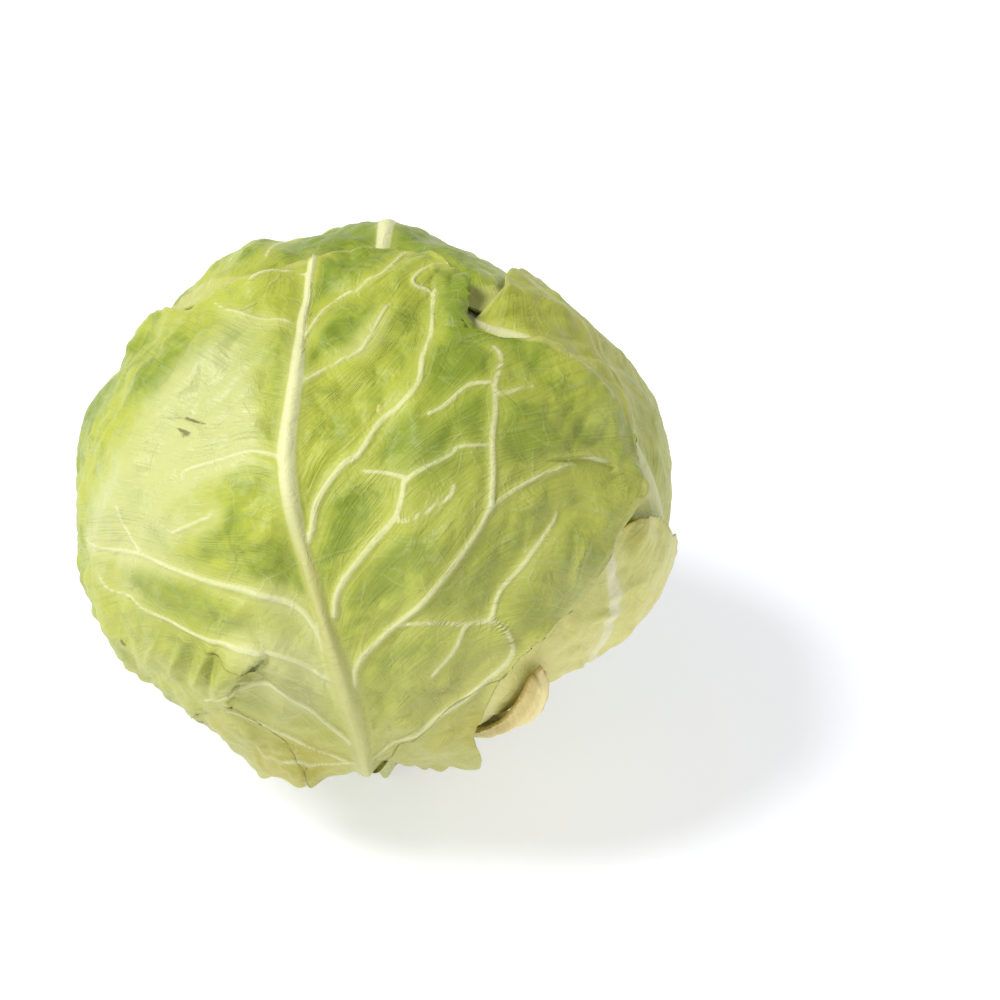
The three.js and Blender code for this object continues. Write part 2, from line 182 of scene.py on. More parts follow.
def smooth_path(points: Array, steps: int = 12) -> Array:
    """Points along a smooth curve through a few points.

    Args:
        points: what the curve runs through, one in each row.
        steps: how many pieces it has from one of them to the next.

    Returns:
        The points of the curve, one in each row.
    """
    ends = np.vstack([2 * points[0] - points[1], points, 2 * points[-1] - points[-2]])
    f = (np.arange(steps) / steps)[None, :, None]
    curve = between(ends[:-3, None], ends[1:-2, None], ends[2:-1, None], ends[3:, None], f)
    return np.vstack([curve.reshape(-1, points.shape[1]), points[-1]])


def fractions(path: Array) -> Array:
    """How far along a path each of its points is, from 0 to 1."""
    far = np.concatenate([[0], np.cumsum(length(np.diff(path, axis=0)))])
    return far / far[-1]


def beside(places: Array, a: Array, b: Array) -> tuple[Array, Array, Array]:
    """How places lie beside a straight piece of a line.

    Args:
        places: one in each row.
        a: where the piece starts.
        b: where it ends.

    Returns:
        How far along the piece each place is, from 0 to 1, its distance, and whether it is on the left.
    """
    step, q = b - a, places - a
    f = np.clip(q @ step / (step @ step + TINY), 0, 1)
    return f, length(q - f[:, None] * step), step[0] * q[:, 1] - step[1] * q[:, 0] > 0


def outside(places: Array, ring: Array, chunk: int = 4096) -> Array:
    """Distance from places to a closed outline, less than nothing inside it.

    Args:
        places: one in each row.
        ring: corners of the outline.
        chunk: how many places are worked out together.

    Returns:
        One distance for each place.
    """
    (ax, ay), (bx, by) = np.roll(ring, 1, axis=0).T, ring.T
    dx, dy = bx - ax, by - ay
    square = dx * dx + dy * dy + TINY
    lean = dx / np.where(dy == 0, TINY, dy)
    found = np.empty(len(places))
    for begin in range(0, len(places), chunk):
        x, y = places[begin : begin + chunk, 0:1], places[begin : begin + chunk, 1:2]
        qx, qy = x - ax, y - ay
        f = np.clip((qx * dx + qy * dy) / square, 0, 1)
        nearest = np.sqrt(((qx - f * dx) ** 2 + (qy - f * dy) ** 2).min(1))
        crossed = ((ay > y) != (by > y)) & (qx < qy * lean)
        found[begin : begin + chunk] = np.where(crossed.sum(1) % 2 == 1, -nearest, nearest)
    return found


@dataclass(frozen=True)
class View:
    """Where the photograph was taken from, in millimetres from the head's centre."""

    rise: float = 35.0
    far: float = 1100.0
    centre: tuple[float, float] = (378.0, 504.0)
    pixel: float = 0.308
    frame: int = 1000
    rounds: int = 12  # how often the distance to the surface is worked out again
    grazing: float = 0.998  # pixels beyond the outline are taken at this share of it

    def directions(self, pixels: Array, radius: Callable[[Array], Array]) -> Array:
        """Directions from the head's centre to what shows at some pixels.

        Args:
            pixels: one pair in each row.
            radius: a function that gives the surface's distance from the centre in each direction.

        Returns:
            Unit vectors, one in each row.
        """
        wide = (np.asarray(pixels, float) - self.centre) * (self.pixel, -self.pixel)
        out, right = toward(0, self.rise), toward(90, 0)
        axes = np.array([right, np.cross(out, right), out])
        reach, depth = np.full(len(wide), SPAN), np.zeros(len(wide))
        for _ in range(self.rounds):
            xy = wide * ((self.far - depth) / self.far)[:, None]
            side = np.maximum(length(xy), 1e-6)
            angle = np.arcsin(np.clip(side / reach, 0, self.grazing))
            ahead = np.column_stack([xy * (np.sin(angle) / side)[:, None], np.cos(angle)]) @ axes
            reach = radius(ahead)
            depth = reach * np.cos(angle)
        return ahead


@dataclass(frozen=True)
class Swell:
    """A place where the head is fuller or flatter."""

    azimuth: float
    rise: float
    high: float
    wide: float


@dataclass
class Heart:
    """The tight inner head: two half ellipsoids that meet at the widest level, slightly lumpy."""

    wide: float = 83.5
    up: float = 75.5
    down: float = 62.0
    around: int = 168
    rings: int = 84
    lumps: float = 0.7
    fold: float = 1.2
    folds: int = 3
    crinkle: float = 0.25
    crinkle_wide: float = 0.16
    swells: tuple[Swell, ...] = (
        Swell(52, -41, -12, 0.5),
        Swell(98, 12, 4.2, 0.25),
        Swell(122, 36, -5.5, 0.42),
        Swell(-112, 26, -3.2, 0.4),
        Swell(-101, 14, 3.6, 0.2),
        Swell(-88, -12, -3, 0.4),
        Swell(-68, -27, 2.4, 0.32),
        Swell(-144, 50, 2.5, 0.3),
    )

    def radius(self, d: Array) -> Array:
        """The heart's distance from its centre.

        Args:
            d: directions, one in each row.

        Returns:
            One distance for each.
        """
        x, y, z = d.T
        vertical = np.where(z > 0, self.up, self.down)
        total = 1 / np.sqrt((x**2 + y**2) / self.wide**2 + z**2 / vertical**2)
        total += self.lumps * (np.sin(4.1 * x + 1) * np.cos(3.3 * y) + np.sin(3.7 * z - 2.9 * x + 0.5))
        for swell in self.swells:
            total += swell.high * gauss(length(d - toward(swell.azimuth, swell.rise)), swell.wide)
        return total

    def build(self) -> bpy.types.Object:
        """A closed lumpy ball whose shallow folds are where the leaves inside it overlap.

        Returns:
            The piece.
        """
        rise = np.linspace(-math.pi / 2, math.pi / 2, self.rings + 1)[1:-1]
        turn = np.linspace(0, 2 * math.pi, self.around, endpoint=False)
        e, a = (grid.ravel() for grid in np.meshgrid(rise, turn, indexing="ij"))
        d = np.column_stack([np.cos(e) * np.cos(a), np.cos(e) * np.sin(a), np.sin(e)])
        d = np.vstack([d, [0, 0, -1], [0, 0, 1]])
        z = d[:, 2]
        fold = np.abs(np.sin(np.arctan2(d[:, 1], d[:, 0]) * self.folds + 5 * z))
        fold = self.fold * fold * (1 - z**2) * smoothstep(-0.9, -0.2, z)
        fold += self.crinkle * np.abs(ripple(d, self.crinkle_wide, Seed.HEART))
        points = d * (self.radius(d) - fold)[:, None]
        marks = {"vein": np.full(len(d), FAR), "rim": np.full(len(d), 30.0)}
        return make_piece("heart_inner", points, ring_faces(self.rings - 1, self.around), marks)


def ring_faces(rings: int, n: int) -> list[tuple[int, ...]]:
    """Faces of a closed shape made of rings, with one point more at each end.

    Args:
        rings: how many rings, from the lowest up.
        n: points in each ring.

    Returns:
        The faces. The two end points are numbered after the rings, the lower one first.
    """
    faces = [
        (r * n + c, r * n + (c + 1) % n, (r + 1) * n + (c + 1) % n, (r + 1) * n + c)
        for r in range(rings - 1)
        for c in range(n)
    ]
    last = (rings - 1) * n
    faces += [(rings * n, (c + 1) % n, c) for c in range(n)]
    faces += [(rings * n + 1, last + c, last + (c + 1) % n) for c in range(n)]
    return faces


def make_piece(name: str, points: Array, faces: list, marks: dict[str, Array]) -> bpy.types.Object:
    """A smooth mesh from points about the head's centre.

    Args:
        name: the piece's name.
        points: millimetres from the head's centre.
        faces: tuples of point numbers.
        marks: values at the points that the finish reads, by name.

    Returns:
        The new object, linked to the scene.
    """
    mesh = bpy.data.meshes.new(name)
    low, high = np.array(CAD_BOX[0]), np.array(CAD_BOX[1]) - HAIR
    low[:2] += HAIR
    mesh.from_pydata(np.clip((points + (0, 0, CENTRE_UP)) * METRES, low, high).tolist(), [], faces)
    for key, values in marks.items():
        layer = mesh.attributes.new(key, "FLOAT", "POINT")
        layer.data.foreach_set("value", np.asarray(values, np.float32))
    mesh.polygons.foreach_set("use_smooth", np.ones(len(mesh.polygons), bool))
    mesh.update()
    piece = bpy.data.objects.new(name, mesh)
    bpy.context.scene.collection.objects.link(piece)
    return piece


def blade_faces(rows: int, columns: int, skip: int) -> tuple[list, Array]:
    """Faces of a closed blade: a fine outer grid, a coarser inner grid and a rim between them.

    Args:
        rows: points along the outer grid.
        columns: points across it.
        skip: the inner grid uses each point whose row and column are multiples of this.

    Returns:
        The faces, and the numbers of the outer points that the inner grid repeats.
    """
    index = np.arange(rows * columns).reshape(rows, columns)
    outer = np.stack([index[:-1, :-1], index[:-1, 1:], index[1:, 1:], index[1:, :-1]], -1)
    kept = index[::skip, ::skip]
    under = rows * columns + np.arange(kept.size).reshape(kept.shape)
    inner = np.stack([under[1:, :-1], under[1:, 1:], under[:-1, 1:], under[:-1, :-1]], -1)
    faces = outer.reshape(-1, 4).tolist() + inner.reshape(-1, 4).tolist()
    sides = (
        (index[0], under[0]),
        (index[:, -1], under[:, -1]),
        (index[-1, ::-1], under[-1, ::-1]),
        (index[::-1, 0], under[::-1, 0]),
    )
    for fine, coarse in sides:
        for i in range(len(coarse) - 1):
            edge = fine[i * skip : (i + 1) * skip + 1][::-1]
            faces.append([*edge.tolist(), int(coarse[i]), int(coarse[i + 1])])
    return faces, kept.ravel()


class Chart:
    """A flat map of the head about one direction. Distances and bearings from its middle are true."""

    def __init__(self, azimuth: float, rise: float) -> None:
        """Sets up the chart's axes."""
        self.out = toward(azimuth, rise)
        self.right = toward(azimuth + 90, 0)
        self.up = np.cross(self.out, self.right)

    def direction(self, places: Array) -> Array:
        """Directions of some places.

        Args:
            places: one in each row.

        Returns:
            Unit vectors, one in each row.
        """
        far = np.maximum(length(places), 1e-9)
        side = np.sin(far / SPAN) / far
        return (
            np.cos(far / SPAN)[:, None] * self.out
            + (places[:, 0] * side)[:, None] * self.right
            + (places[:, 1] * side)[:, None] * self.up
        )

    def place(self, d: Array) -> Array:
        """Places of some directions."""
        flat = np.column_stack([d @ self.right, d @ self.up])
        side = np.maximum(length(flat), 1e-9)
        return flat * (np.arctan2(side, d @ self.out) * SPAN / side)[:, None]


@dataclass(frozen=True)
class Stroke:
    """A line drawn on a leaf, such as a vein, with its half width and height at its start and its end."""

    path: Array
    half: tuple[float, float]
    high: tuple[float, float]


@dataclass
class Trace:
    """What a set of strokes does at some places."""

    high: Array
    share: Array
    near: Array


def trace(strokes: list[Stroke], places: Array, sharp: float = 2.2) -> Trace:
    """The relief of some strokes.

    Args:
        strokes: what is drawn.
        places: where on the chart, one in each row.
        sharp: the power of the profile. A higher one has a flatter crest and steeper sides.

    Returns:
        Height, distance in half widths of the nearest stroke, and distance in millimetres.
    """
    order = np.argsort(places[:, 0])
    x, y = places[order].T
    high, share, near = np.zeros(len(x)), np.full(len(x), FAR), np.full(len(x), NEAR)
    for stroke in strokes:
        along = fractions(stroke.path)
        reach = NEAR if stroke.half[0] > THIN else 4 * max(stroke.half)
        for a, b, fa, fb in zip(stroke.path[:-1], stroke.path[1:], along[:-1], along[1:]):
            low, top = np.minimum(a, b) - reach, np.maximum(a, b) + reach
            first, last = np.searchsorted(x, [low[0], top[0]])
            hit = first + np.flatnonzero((y[first:last] > low[1]) & (y[first:last] < top[1]))
            step, qx, qy = b - a, x[hit] - a[0], y[hit] - a[1]
            f = np.clip((qx * step[0] + qy * step[1]) / (step @ step + TINY), 0, 1)
            far = np.hypot(qx - f * step[0], qy - f * step[1])
            s = lerp(fa, fb, f)
            half = lerp(*stroke.half, s)
            high[hit] = np.maximum(high[hit], lerp(*stroke.high, s) * np.exp(-((far / half) ** sharp)))
            share[hit] = np.minimum(share[hit], far / half)
            if stroke.half[0] > THIN:
                near[hit] = np.minimum(near[hit], far)
    back = np.argsort(order)
    return Trace(high[back], share[back], near[back])


def twigs_of(stroke: Stroke, gap: float, number: int) -> list[Stroke]:
    """Thin side twigs that leave a vein, alternately on its two sides.

    Args:
        stroke: the vein.
        gap: the usual distance between them.
        number: the vein's number on its leaf.

    Returns:
        The twigs.
    """
    random = np.random.default_rng(Seed.TWIGS.value + number)
    far = length(np.diff(stroke.path, axis=0)).sum()
    along = fractions(stroke.path)
    twigs, at, side = [], gap * random.uniform(0.5, 1), 1
    while at < far * 0.97:
        i = int(np.clip(np.searchsorted(along, at / far), 1, len(along) - 1))
        ahead = stroke.path[i] - stroke.path[i - 1]
        turn = math.atan2(ahead[1], ahead[0]) + side * random.uniform(0.7, 1.1)
        bend, reach = random.uniform(-0.3, 0.3) - 0.3 * side, random.uniform(7, 16)
        point, path = stroke.path[i], [stroke.path[i]]
        for _ in range(TWIG_STEPS):
            turn += bend / (TWIG_STEPS - 1) + random.normal(0, 0.07)
            point = point + reach / TWIG_STEPS * np.array([math.cos(turn), math.sin(turn)])
            path.append(point)
        twigs.append(Stroke(np.array(path), TWIG_HALF, TWIG_HIGH))
        at += gap * random.uniform(0.6, 1.4)
        side = -side
    return twigs


@dataclass(frozen=True)
class Vein:
    """A side vein as it is seen, in pixels, with its half width and height in millimetres."""

    pixels: Pixels
    half: tuple[float, float] = (1.25, 0.5)
    high: tuple[float, float] = (1.2, 0.4)


@dataclass(frozen=True)
class Fold:
    """A ridge or, where its height is negative, a groove of the whole blade, which dies out at both ends."""

    pixels: Pixels
    half: float
    high: float


@dataclass(frozen=True)
class Scarp:
    """A torn or folded edge: the blade on the left of the line stands above the blade on its right."""

    pixels: Pixels
    high: float
    reach: float
    dip: float = 0.4


@dataclass(frozen=True)
class Tint:
    """A patch of the leaf with its own tone, at a pixel, with its half width in millimetres. Some pale ones
    are painted sheen.
    """

    mark: str
    at: tuple[float, float]
    wide: float
    high: float = 1.0


@dataclass
class Leaf:
    """A wrapper leaf.

    On it m runs from 0 at the cut base to 1 at the tip, and t from -1 at its left edge to 1 at its right.
    """

    node: str
    finish: "LeafFinish"
    azimuth: float = 0.0
    rise: float = 0.0
    reach: float = 92.0
    half_wide: float = 98.0
    base_half: float = 12.0
    bend: float = 5.0
    rib_up: float = 5.0
    rib_half: float = 9.0
    blade: float = BLADE
    flare: float = 2.0
    waves: float = 5.0
    veins: tuple[float, ...] = (0.16, 0.28, 0.41, 0.55, 0.7)
    stagger: float = 0.055
    last_row: float = 0.955
    rows: int = 177
    columns: int = 177
    puckers: float = 0.35
    ragged: float = 1.0  # how ragged its edges are, against a sound leaf
    tucked: tuple[float, float] = (0.0, 0.0)  # how far the left and right edges run under what lies on them
    folds: tuple[Fold, ...] = ()
    scarps: tuple[Scarp, ...] = ()
    tints: tuple[Tint, ...] = ()
    # brown scars and torn margins; on the front leaf also a painted shade line under a curled edge
    blemishes_and_shade: tuple[Fold, ...] = ()
    drawn: tuple[Vein, ...] = ()
    level: int = field(init=False)
    head: "Head" = field(init=False)

    def join(self, head: "Head", level: int) -> None:
        """Lays the leaf on everything that is on the head so far.

        Args:
            head: the head.
            level: how many leaves are inside it.
        """
        self.head, self.level = head, level
        self.chart = Chart(self.azimuth, self.rise)
        self.pole = -math.radians(90 + self.rise) * SPAN
        by_stem = self.chart.direction(np.array([[0, self.pole + STEM_R]]))
        self.hug = SPAN * math.asin((STEM_R + 1.2) / head.under(level, by_stem)[0])
        self.prepare()
        steps = np.arange(25) / 24 * self.last_row
        tip = np.full(3, self.last_row)
        self.outline = np.vstack([
            self.point(steps, np.ones(25)),
            self.point(tip, np.array([0.5, 0, -0.5])),
            self.point(steps[::-1], -np.ones(25)),
            self.point(np.zeros(1), np.zeros(1)),
        ])

    def prepare(self) -> None:
        """Works out what the leaf's shape needs. A plain leaf needs nothing more."""

    def rib(self, m: Array) -> Array:
        """Places along the midrib."""
        x = self.bend * np.sin(math.pi * m)
        return np.column_stack([x, lerp(self.pole + self.hug, self.reach, m**1.5)])

    def edge(self, m: Array, side: Array) -> Array:
        """Places along the left or right edge.

        Args:
            m: how far along the leaf.
            side: -1 for the left edge and 1 for the right.

        Returns:
            Places on the chart, one in each row.
        """
        swell = np.abs(np.sin(math.pi * m)) ** (1.8 - 1.1 * m)
        wave = 1 + 0.03 * np.sin(2 * math.pi * self.waves * m + side + self.azimuth)
        x = self.base_half * (1 - m) ** 2 + self.half_wide * swell * wave
        along = (1 - np.cos(math.pi * m)) / 2 * (1 - 0.1 * m**4)
        return np.column_stack([side * x, lerp(self.pole + self.hug, self.reach, along)])

    def point(self, m: Array, t: Array) -> Array:
        """Places on the leaf's chart.

        Args:
            m: how far along the leaf.
            t: how far across it.

        Returns:
            Places, one in each row.
        """
        rib, edge = self.rib(m), self.edge(m, np.where(t < 0, -1, 1))
        x = lerp(rib[:, 0], edge[:, 0], np.abs(t))
        clasp = self.hug - np.sqrt(np.maximum(self.hug**2 - x**2, 0))
        return np.column_stack([x, lerp(rib[:, 1], edge[:, 1], np.abs(t) ** 1.4) - clasp * (1 - m) ** 12])

    def rib_height(self, m: Array) -> Array:
        """How far the midrib stands out."""
        return self.rib_up * (1 - m) ** 1.3 + 0.8

    def rib_width(self, m: Array) -> Array:
        """Half the width of the midrib."""
        return self.rib_half * (1 - m) + 2

    def blade_thick(self, m: Array) -> Array:
        """Thickness of the blade, which is more near its base."""
        return self.blade + 2 * np.clip(1 - 4 * m, 0, 1) ** 2

    def cover(self, d: Array) -> Array:
        """How much of the leaf lies in each direction: 1 under it, falling to 0 past its edge."""
        return 1 - smoothstep(*DRAPE, outside(self.chart.place(d), self.outline))

    def lift(self, d: Array) -> Array:
        """How far the leaf lifts whatever lies on it.

        Args:
            d: directions, one in each row.

        Returns:
            One height for each.
        """
        x, y = self.chart.place(d).T
        foot = self.pole + self.hug
        m = np.clip((y - foot) / (self.reach - foot), 0, 1) ** (1 / 1.5)
        across = x - self.rib(m)[:, 0]
        rib = 1.15 * self.rib_height(m) * gauss(across, 2.4 * self.rib_width(m))
        return self.cover(d) * (self.blade_thick(m) + np.maximum(VEIN_UP, rib) + LEAF_GAP)

    def wave(self, m: Array, t: Array, places: Array, d: Array) -> Array:
        """How far the free edge waves away from the head.

        Args:
            m: how far along the leaf.
            t: how far across it.
            places: the same points on the chart.
            d: their directions.

        Returns:
            One height for each.
        """
        near = np.maximum(smoothstep(0.7, 1, np.abs(t)), smoothstep(0.85, self.last_row, m))
        swing = 0.55 + 0.45 * np.sin(2 * math.pi * self.waves * m + 2 * np.sign(t) + self.azimuth)
        return self.flare * near * swing * smoothstep(0.1, 0.5, m)

    def seen(self, pixels: Pixels) -> Array:
        """Places on the chart of what shows at some pixels of the photograph."""
        return self.chart.place(self.head.view.directions(np.array(pixels, float), self.laid))

    def laid(self, d: Array) -> Array:
        """Distance of the blade's outer face from the head's centre, where it lies close."""
        return self.head.under(self.level, d) + BLADE

    def spot(self, pixels: Pixels) -> Array:
        """Places on the chart of what shows at some pixels, once the leaf stands out as it does."""
        return self.seen(pixels)

    def side_veins(self) -> list[Stroke]:
        """The veins that leave the midrib, each forked near its end, and those with a path of their own.

        Returns:
            The strokes.
        """
        strokes = []
        for side in (-1, 1):
            for k, start in enumerate(self.veins):
                m0 = start + (self.stagger if side > 0 else 0)
                random = np.random.default_rng(abs(int(self.azimuth)) * 20 + 2 * k + (side > 0))
                sway, lean = random.uniform(0.006, 0.016), random.uniform(2, 4)
                t = np.linspace(0, 0.9, 30)
                m = m0 + sway * np.sin(lean * math.pi * t) * t
                path = self.point(m, side * t)
                strokes.append(Stroke(path, VEIN_HALF, (VEIN_UP, 0.25)))
                split = random.integers(13, 19)
                s = np.linspace(0, 1, 12)
                fork = self.point(m[split] + 0.075 * s**0.8, side * lerp(t[split], 0.86, s))
                strokes.append(Stroke(fork, FORK_HALF, FORK_HIGH))
        return strokes + self.drawn_veins()

    def drawn_veins(self) -> list[Stroke]:
        """The veins whose paths are given."""
        return [Stroke(smooth_path(self.spot(v.pixels), 5), v.half, v.high) for v in self.drawn]

    def fold_relief(self, places: Array) -> Array:
        """Height of the folds and torn edges, which the whole blade follows.

        Args:
            places: where on the chart.

        Returns:
            One height for each place.
        """
        total = self.lines(self.folds, places)
        for scarp in self.scarps:
            total += self.step_relief(scarp, places)
        return total

    def lines(self, folds: tuple[Fold, ...], places: Array) -> Array:
        """The height of some ridges and grooves.

        Args:
            folds: the ridges and grooves.
            places: where on the chart.

        Returns:
            One height for each place.
        """
        total = np.zeros(len(places))
        for fold in folds:
            path, one = smooth_path(self.spot(fold.pixels), 6), np.zeros(len(places))
            along = fractions(path)
            for a, b, fa, fb in zip(path[:-1], path[1:], along[:-1], along[1:]):
                f, far, _ = beside(places, a, b)
                ends = np.sin(math.pi * np.clip(lerp(fa, fb, f), 0, 1)) ** 1.1
                one = np.maximum(one, ends * gauss(far, fold.half))
            total += fold.high * one
        return total

    def step_relief(self, scarp: Scarp, places: Array) -> Array:
        """Height beside a torn edge: a step on its left side and a shallow dip on its right.

        Args:
            scarp: the torn edge.
            places: where on the chart.

        Returns:
            One height for each place.
        """
        path = smooth_path(self.spot(scarp.pixels), 5)
        nearest, signed, along = np.full(len(places), np.inf), np.zeros(len(places)), np.zeros(len(places))
        for a, b, s in zip(path[:-1], path[1:], fractions(path)[1:]):
            _, far, left = beside(places, a, b)
            closer = far < nearest
            nearest = np.where(closer, far, nearest)
            signed = np.where(closer, np.where(left, far, -far), signed)
            along = np.where(closer, s, along)
        ends = np.sin(math.pi * np.clip(along, 0.001, 0.999)) ** 0.5
        up = scarp.high * gauss(signed, scarp.reach)
        down = -scarp.dip * gauss(signed, 1.6)
        return ends * np.where(signed > 0, up, down)

    def marks(self, m: Array, places: Array) -> dict[str, Array]:
        """Values at the points that the finish reads, apart from the veins.

        Args:
            m: how far along the leaf the points are.
            places: the same points on the chart.

        Returns:
            The values, by name.
        """
        made = {mark: np.zeros(len(places)) for mark in ("deep", "pale", "warm")}
        for tint in self.tints:
            dx, dy = (places - self.spot((tint.at,))[0]).T
            made[tint.mark] += tint.high * np.exp(-((dx**2 + dy**2) / tint.wide**2))
        made["foot"] = 1 - m
        # brown: scars and torn margins, and a painted shade line under a curled edge.
        made["brown"] = self.lines(self.blemishes_and_shade, places)
        return made

    def even_rows(self) -> tuple[Array, float]:
        """Rows spaced so that the mesh is about as fine everywhere along the leaf.

        Returns:
            Where the rows are, from 0 to 1, and the distance between them.
        """
        dense = np.linspace(0, self.last_row, 3000)
        moved = np.zeros(len(dense) - 1)
        for t in (-1, -0.7, -0.35, 0, 0.35, 0.7, 1):
            moved = np.maximum(moved, length(np.diff(self.point(dense, np.full(len(dense), t)), axis=0)))
        far = np.concatenate([[0], np.cumsum(moved)])
        return np.interp(np.linspace(0, far[-1], self.rows), far, dense), far[-1] / (self.rows - 1)

    def margin(self, m: Array, side: int) -> Array:
        """How far in from its smooth outline the ragged edge lies.

        Args:
            m: how far along the leaf.
            side: -1 for the left edge and 1 for the right.

        Returns:
            Shares of the blade's half width.
        """
        spot = np.column_stack([m * 60, np.full(len(m), 7.0 * side + self.azimuth)])
        teeth = 0.005 * ripple(spot, 3.1, Seed.MARGIN)
        return self.ragged * (0.006 + teeth + 0.003 * ripple(spot, 0.9, Seed.FINE_MARGIN))

    def tuck(self, m: Array, t: Array) -> Array:
        """How much wider the leaf is than its outline, where its edges run under what lies on them."""
        widening = smoothstep(0.25, 0.5, m) + 2.5 * smoothstep(0.7, 0.95, m)
        return 1 + np.where(t < 0, *self.tucked) * widening

    def puff(self, places: Array, clear: Array) -> Array:
        """How far the blade bulges or creases between its veins.

        Args:
            places: where on the chart.
            clear: how far each place is from the nearest vein.

        Returns:
            One height for each place.
        """
        crease = np.abs(ripple(places, 17, Seed.CREASE, self.level))
        small = ripple(places, 9, Seed.SMALL_PUFF, self.level)
        total = ripple(places, 24, Seed.PUFF, self.level) + 0.3 * small + 1.4 * crease
        total *= self.puckers
        total *= smoothstep(1, 7, clear)
        return total

    def build(self) -> bpy.types.Object:
        """The leaf's closed blade, with its ribs, veins, puckers and folds.

        Returns:
            The piece.
        """
        rows, gap = self.even_rows()
        across = np.linspace(-1, 1, self.columns)
        m, t = (grid.ravel() for grid in np.meshgrid(rows, across, indexing="ij"))
        ragged = np.where(t < 0, self.margin(m, -1), self.margin(m, 1)) * smoothstep(0.08, 0.2, m)
        t = t * (1 - ragged) * self.tuck(m, t)
        places = self.point(m, t)
        d = self.chart.direction(places)
        under = self.head.under(self.level, d)
        free = self.head.free(self.level, d)
        near = np.maximum(smoothstep(0.7, 1, np.abs(t)), smoothstep(0.9, self.last_row, m))
        from_rib = length(places - self.rib(m))
        rib = self.rib_height(m) * np.exp(-((from_rib / self.rib_width(m) * 1.15) ** 2.3))
        veins = self.side_veins()
        drawn = trace(veins, places)
        twigs = [twig for k, vein in enumerate(veins) for twig in twigs_of(vein, TWIG_GAP, k)]
        thin = trace(twigs, places, 2)
        fade = 1 - smoothstep(0.85, 1, np.abs(t))
        relief = np.maximum(rib, np.maximum(drawn.high, thin.high) * fade)
        puff = self.puff(places, np.minimum(drawn.near, from_rib - self.rib_width(m)))
        thick = lerp(self.blade_thick(m), MARGIN, near) + np.maximum(relief, 0)
        swing = self.wave(m, t, places, d) * free
        low = under + swing + np.maximum(self.fold_relief(places), GROOVE)
        low = np.minimum(low, self.head.floor_below(d) - thick - CLEAR)
        outer = low + thick + puff * np.clip(thick, 0, 1)
        faces, kept = blade_faces(self.rows, self.columns, COARSE)
        points = np.vstack([d * outer[:, None], (d * low[:, None])[kept]])
        everywhere = {
            "vein": np.minimum(drawn.share, from_rib / self.rib_width(m) * 1.1),
            "rib": from_rib / self.rib_width(m),
            "near": np.minimum(drawn.near, from_rib),
            "twig": thin.share,
            "rim": -outside(places, self.outline),
            "along": np.repeat(np.arange(self.rows) * gap, self.columns),
            "across": from_rib * np.where(t < 0, -1, 1),
            **self.marks(m, places),
        }
        marks = {key: np.concatenate([values, values[kept]]) for key, values in everywhere.items()}
        return make_piece(self.node + "_fine", points, faces, marks)


def behind(bearing: float, angle: float) -> Array:
    """A place on the front chart, by degrees round the view from its right and degrees away from it."""
    far, turn = math.radians(angle) * SPAN, math.radians(bearing)
    return far * np.array([math.cos(turn), math.sin(turn)])


@dataclass(frozen=True)
class Guide:
    """A row of the front leaf, from a point on its midrib to its edge."""

    start: tuple[float, float] | float
    to: Pixels = ()
    past: Pixels = ()
    stem: float | None = None


MIDRIB: Pixels = (
    (371, 764), (366, 748), (357, 726), (346, 692), (335, 655), (321, 610), (307, 560), (297, 515),
    (290, 475), (290, 440), (296, 400), (303, 360), (309, 320), (316, 285), (320, 257),
)
LEFT_GUIDES = (
    Guide(0.0, stem=-36),
    Guide(0.06, past=((262, 106), (257, 101))),
    Guide((371, 764), ((353, 766), (338, 776), (322, 786))),
    Guide((366, 755), ((345, 756), (318, 758), (287, 755), (262, 764))),
    Guide((360, 741), ((329, 751), (302, 740), (277, 727), (253, 715), (223, 702), (200, 709))),
    Guide((354, 724), ((337, 728), (310, 707), (277, 685), (258, 677), (240, 681), (202, 692), (176, 696))),
    Guide((339, 668), ((320, 668), (262, 645), (201, 630), (168, 612), (129, 586)), ((198, 92),)),
    Guide((325, 625), ((303, 608), (277, 593), (212, 575), (142, 545), (108, 539)), ((188, 97),)),
    Guide((289, 458), ((254, 446), (223, 453), (188, 463), (130, 450)), ((168, 98),)),
    Guide((297, 395), ((250, 380), (200, 350), (150, 320))),
    Guide((309, 325), ((284, 316), (260, 314), (237, 306), (200, 302))),
    Guide(1.0, ((300, 258), (274, 265), (250, 271))),
)
RIGHT_GUIDES = (
    Guide(0.0, stem=22),
    Guide(0.06, past=((278, 106), (283, 101))),
    Guide((371, 764), ((400, 762), (432, 761), (470, 756))),
    Guide((368, 755), ((400, 749), (440, 738), (468, 728))),
    Guide((365, 746), ((397, 735), (432, 714), (466, 693), (500, 680))),
    Guide((357, 724), ((400, 690), (450, 655), (500, 632), (545, 632))),
    Guide((353, 710), ((400, 655), (445, 618), (490, 600), (540, 592), (583, 604))),
    Guide((349, 699), ((395, 637), (450, 590), (505, 550), (560, 538), (612, 548))),
    Guide((346, 690), ((374, 638), (409, 609), (450, 565), (493, 505), (533, 480), (580, 462), (642, 490))),
    Guide((329, 636), ((340, 582), (372, 540), (395, 514), (403, 487), (453, 452), (492, 445), (634, 425))),
    Guide((314, 585), ((340, 520), (380, 470), (430, 425), (480, 390), (530, 360), (568, 348))),
    Guide((303, 542), ((325, 485), (360, 451), (403, 402), (423, 372), (434, 336), (456, 326), (480, 332))),
    Guide((292, 445), ((320, 420), (370, 370), (405, 330), (432, 290), (478, 280))),
    Guide((300, 385), ((340, 359), (373, 334), (395, 302), (420, 275), (455, 262))),
    Guide((309, 345), ((330, 305), (360, 289), (390, 269), (425, 249))),
    Guide(1.0, ((345, 251), (368, 248))),
)


@dataclass(frozen=True)
class Stand:
    """A place where the front leaf stands away from the head, at a pixel or past the outline."""

    high: float
    wide: float
    at: tuple[float, float] | None = None
    past: tuple[float, float] | None = None  # degrees round the view and away from it


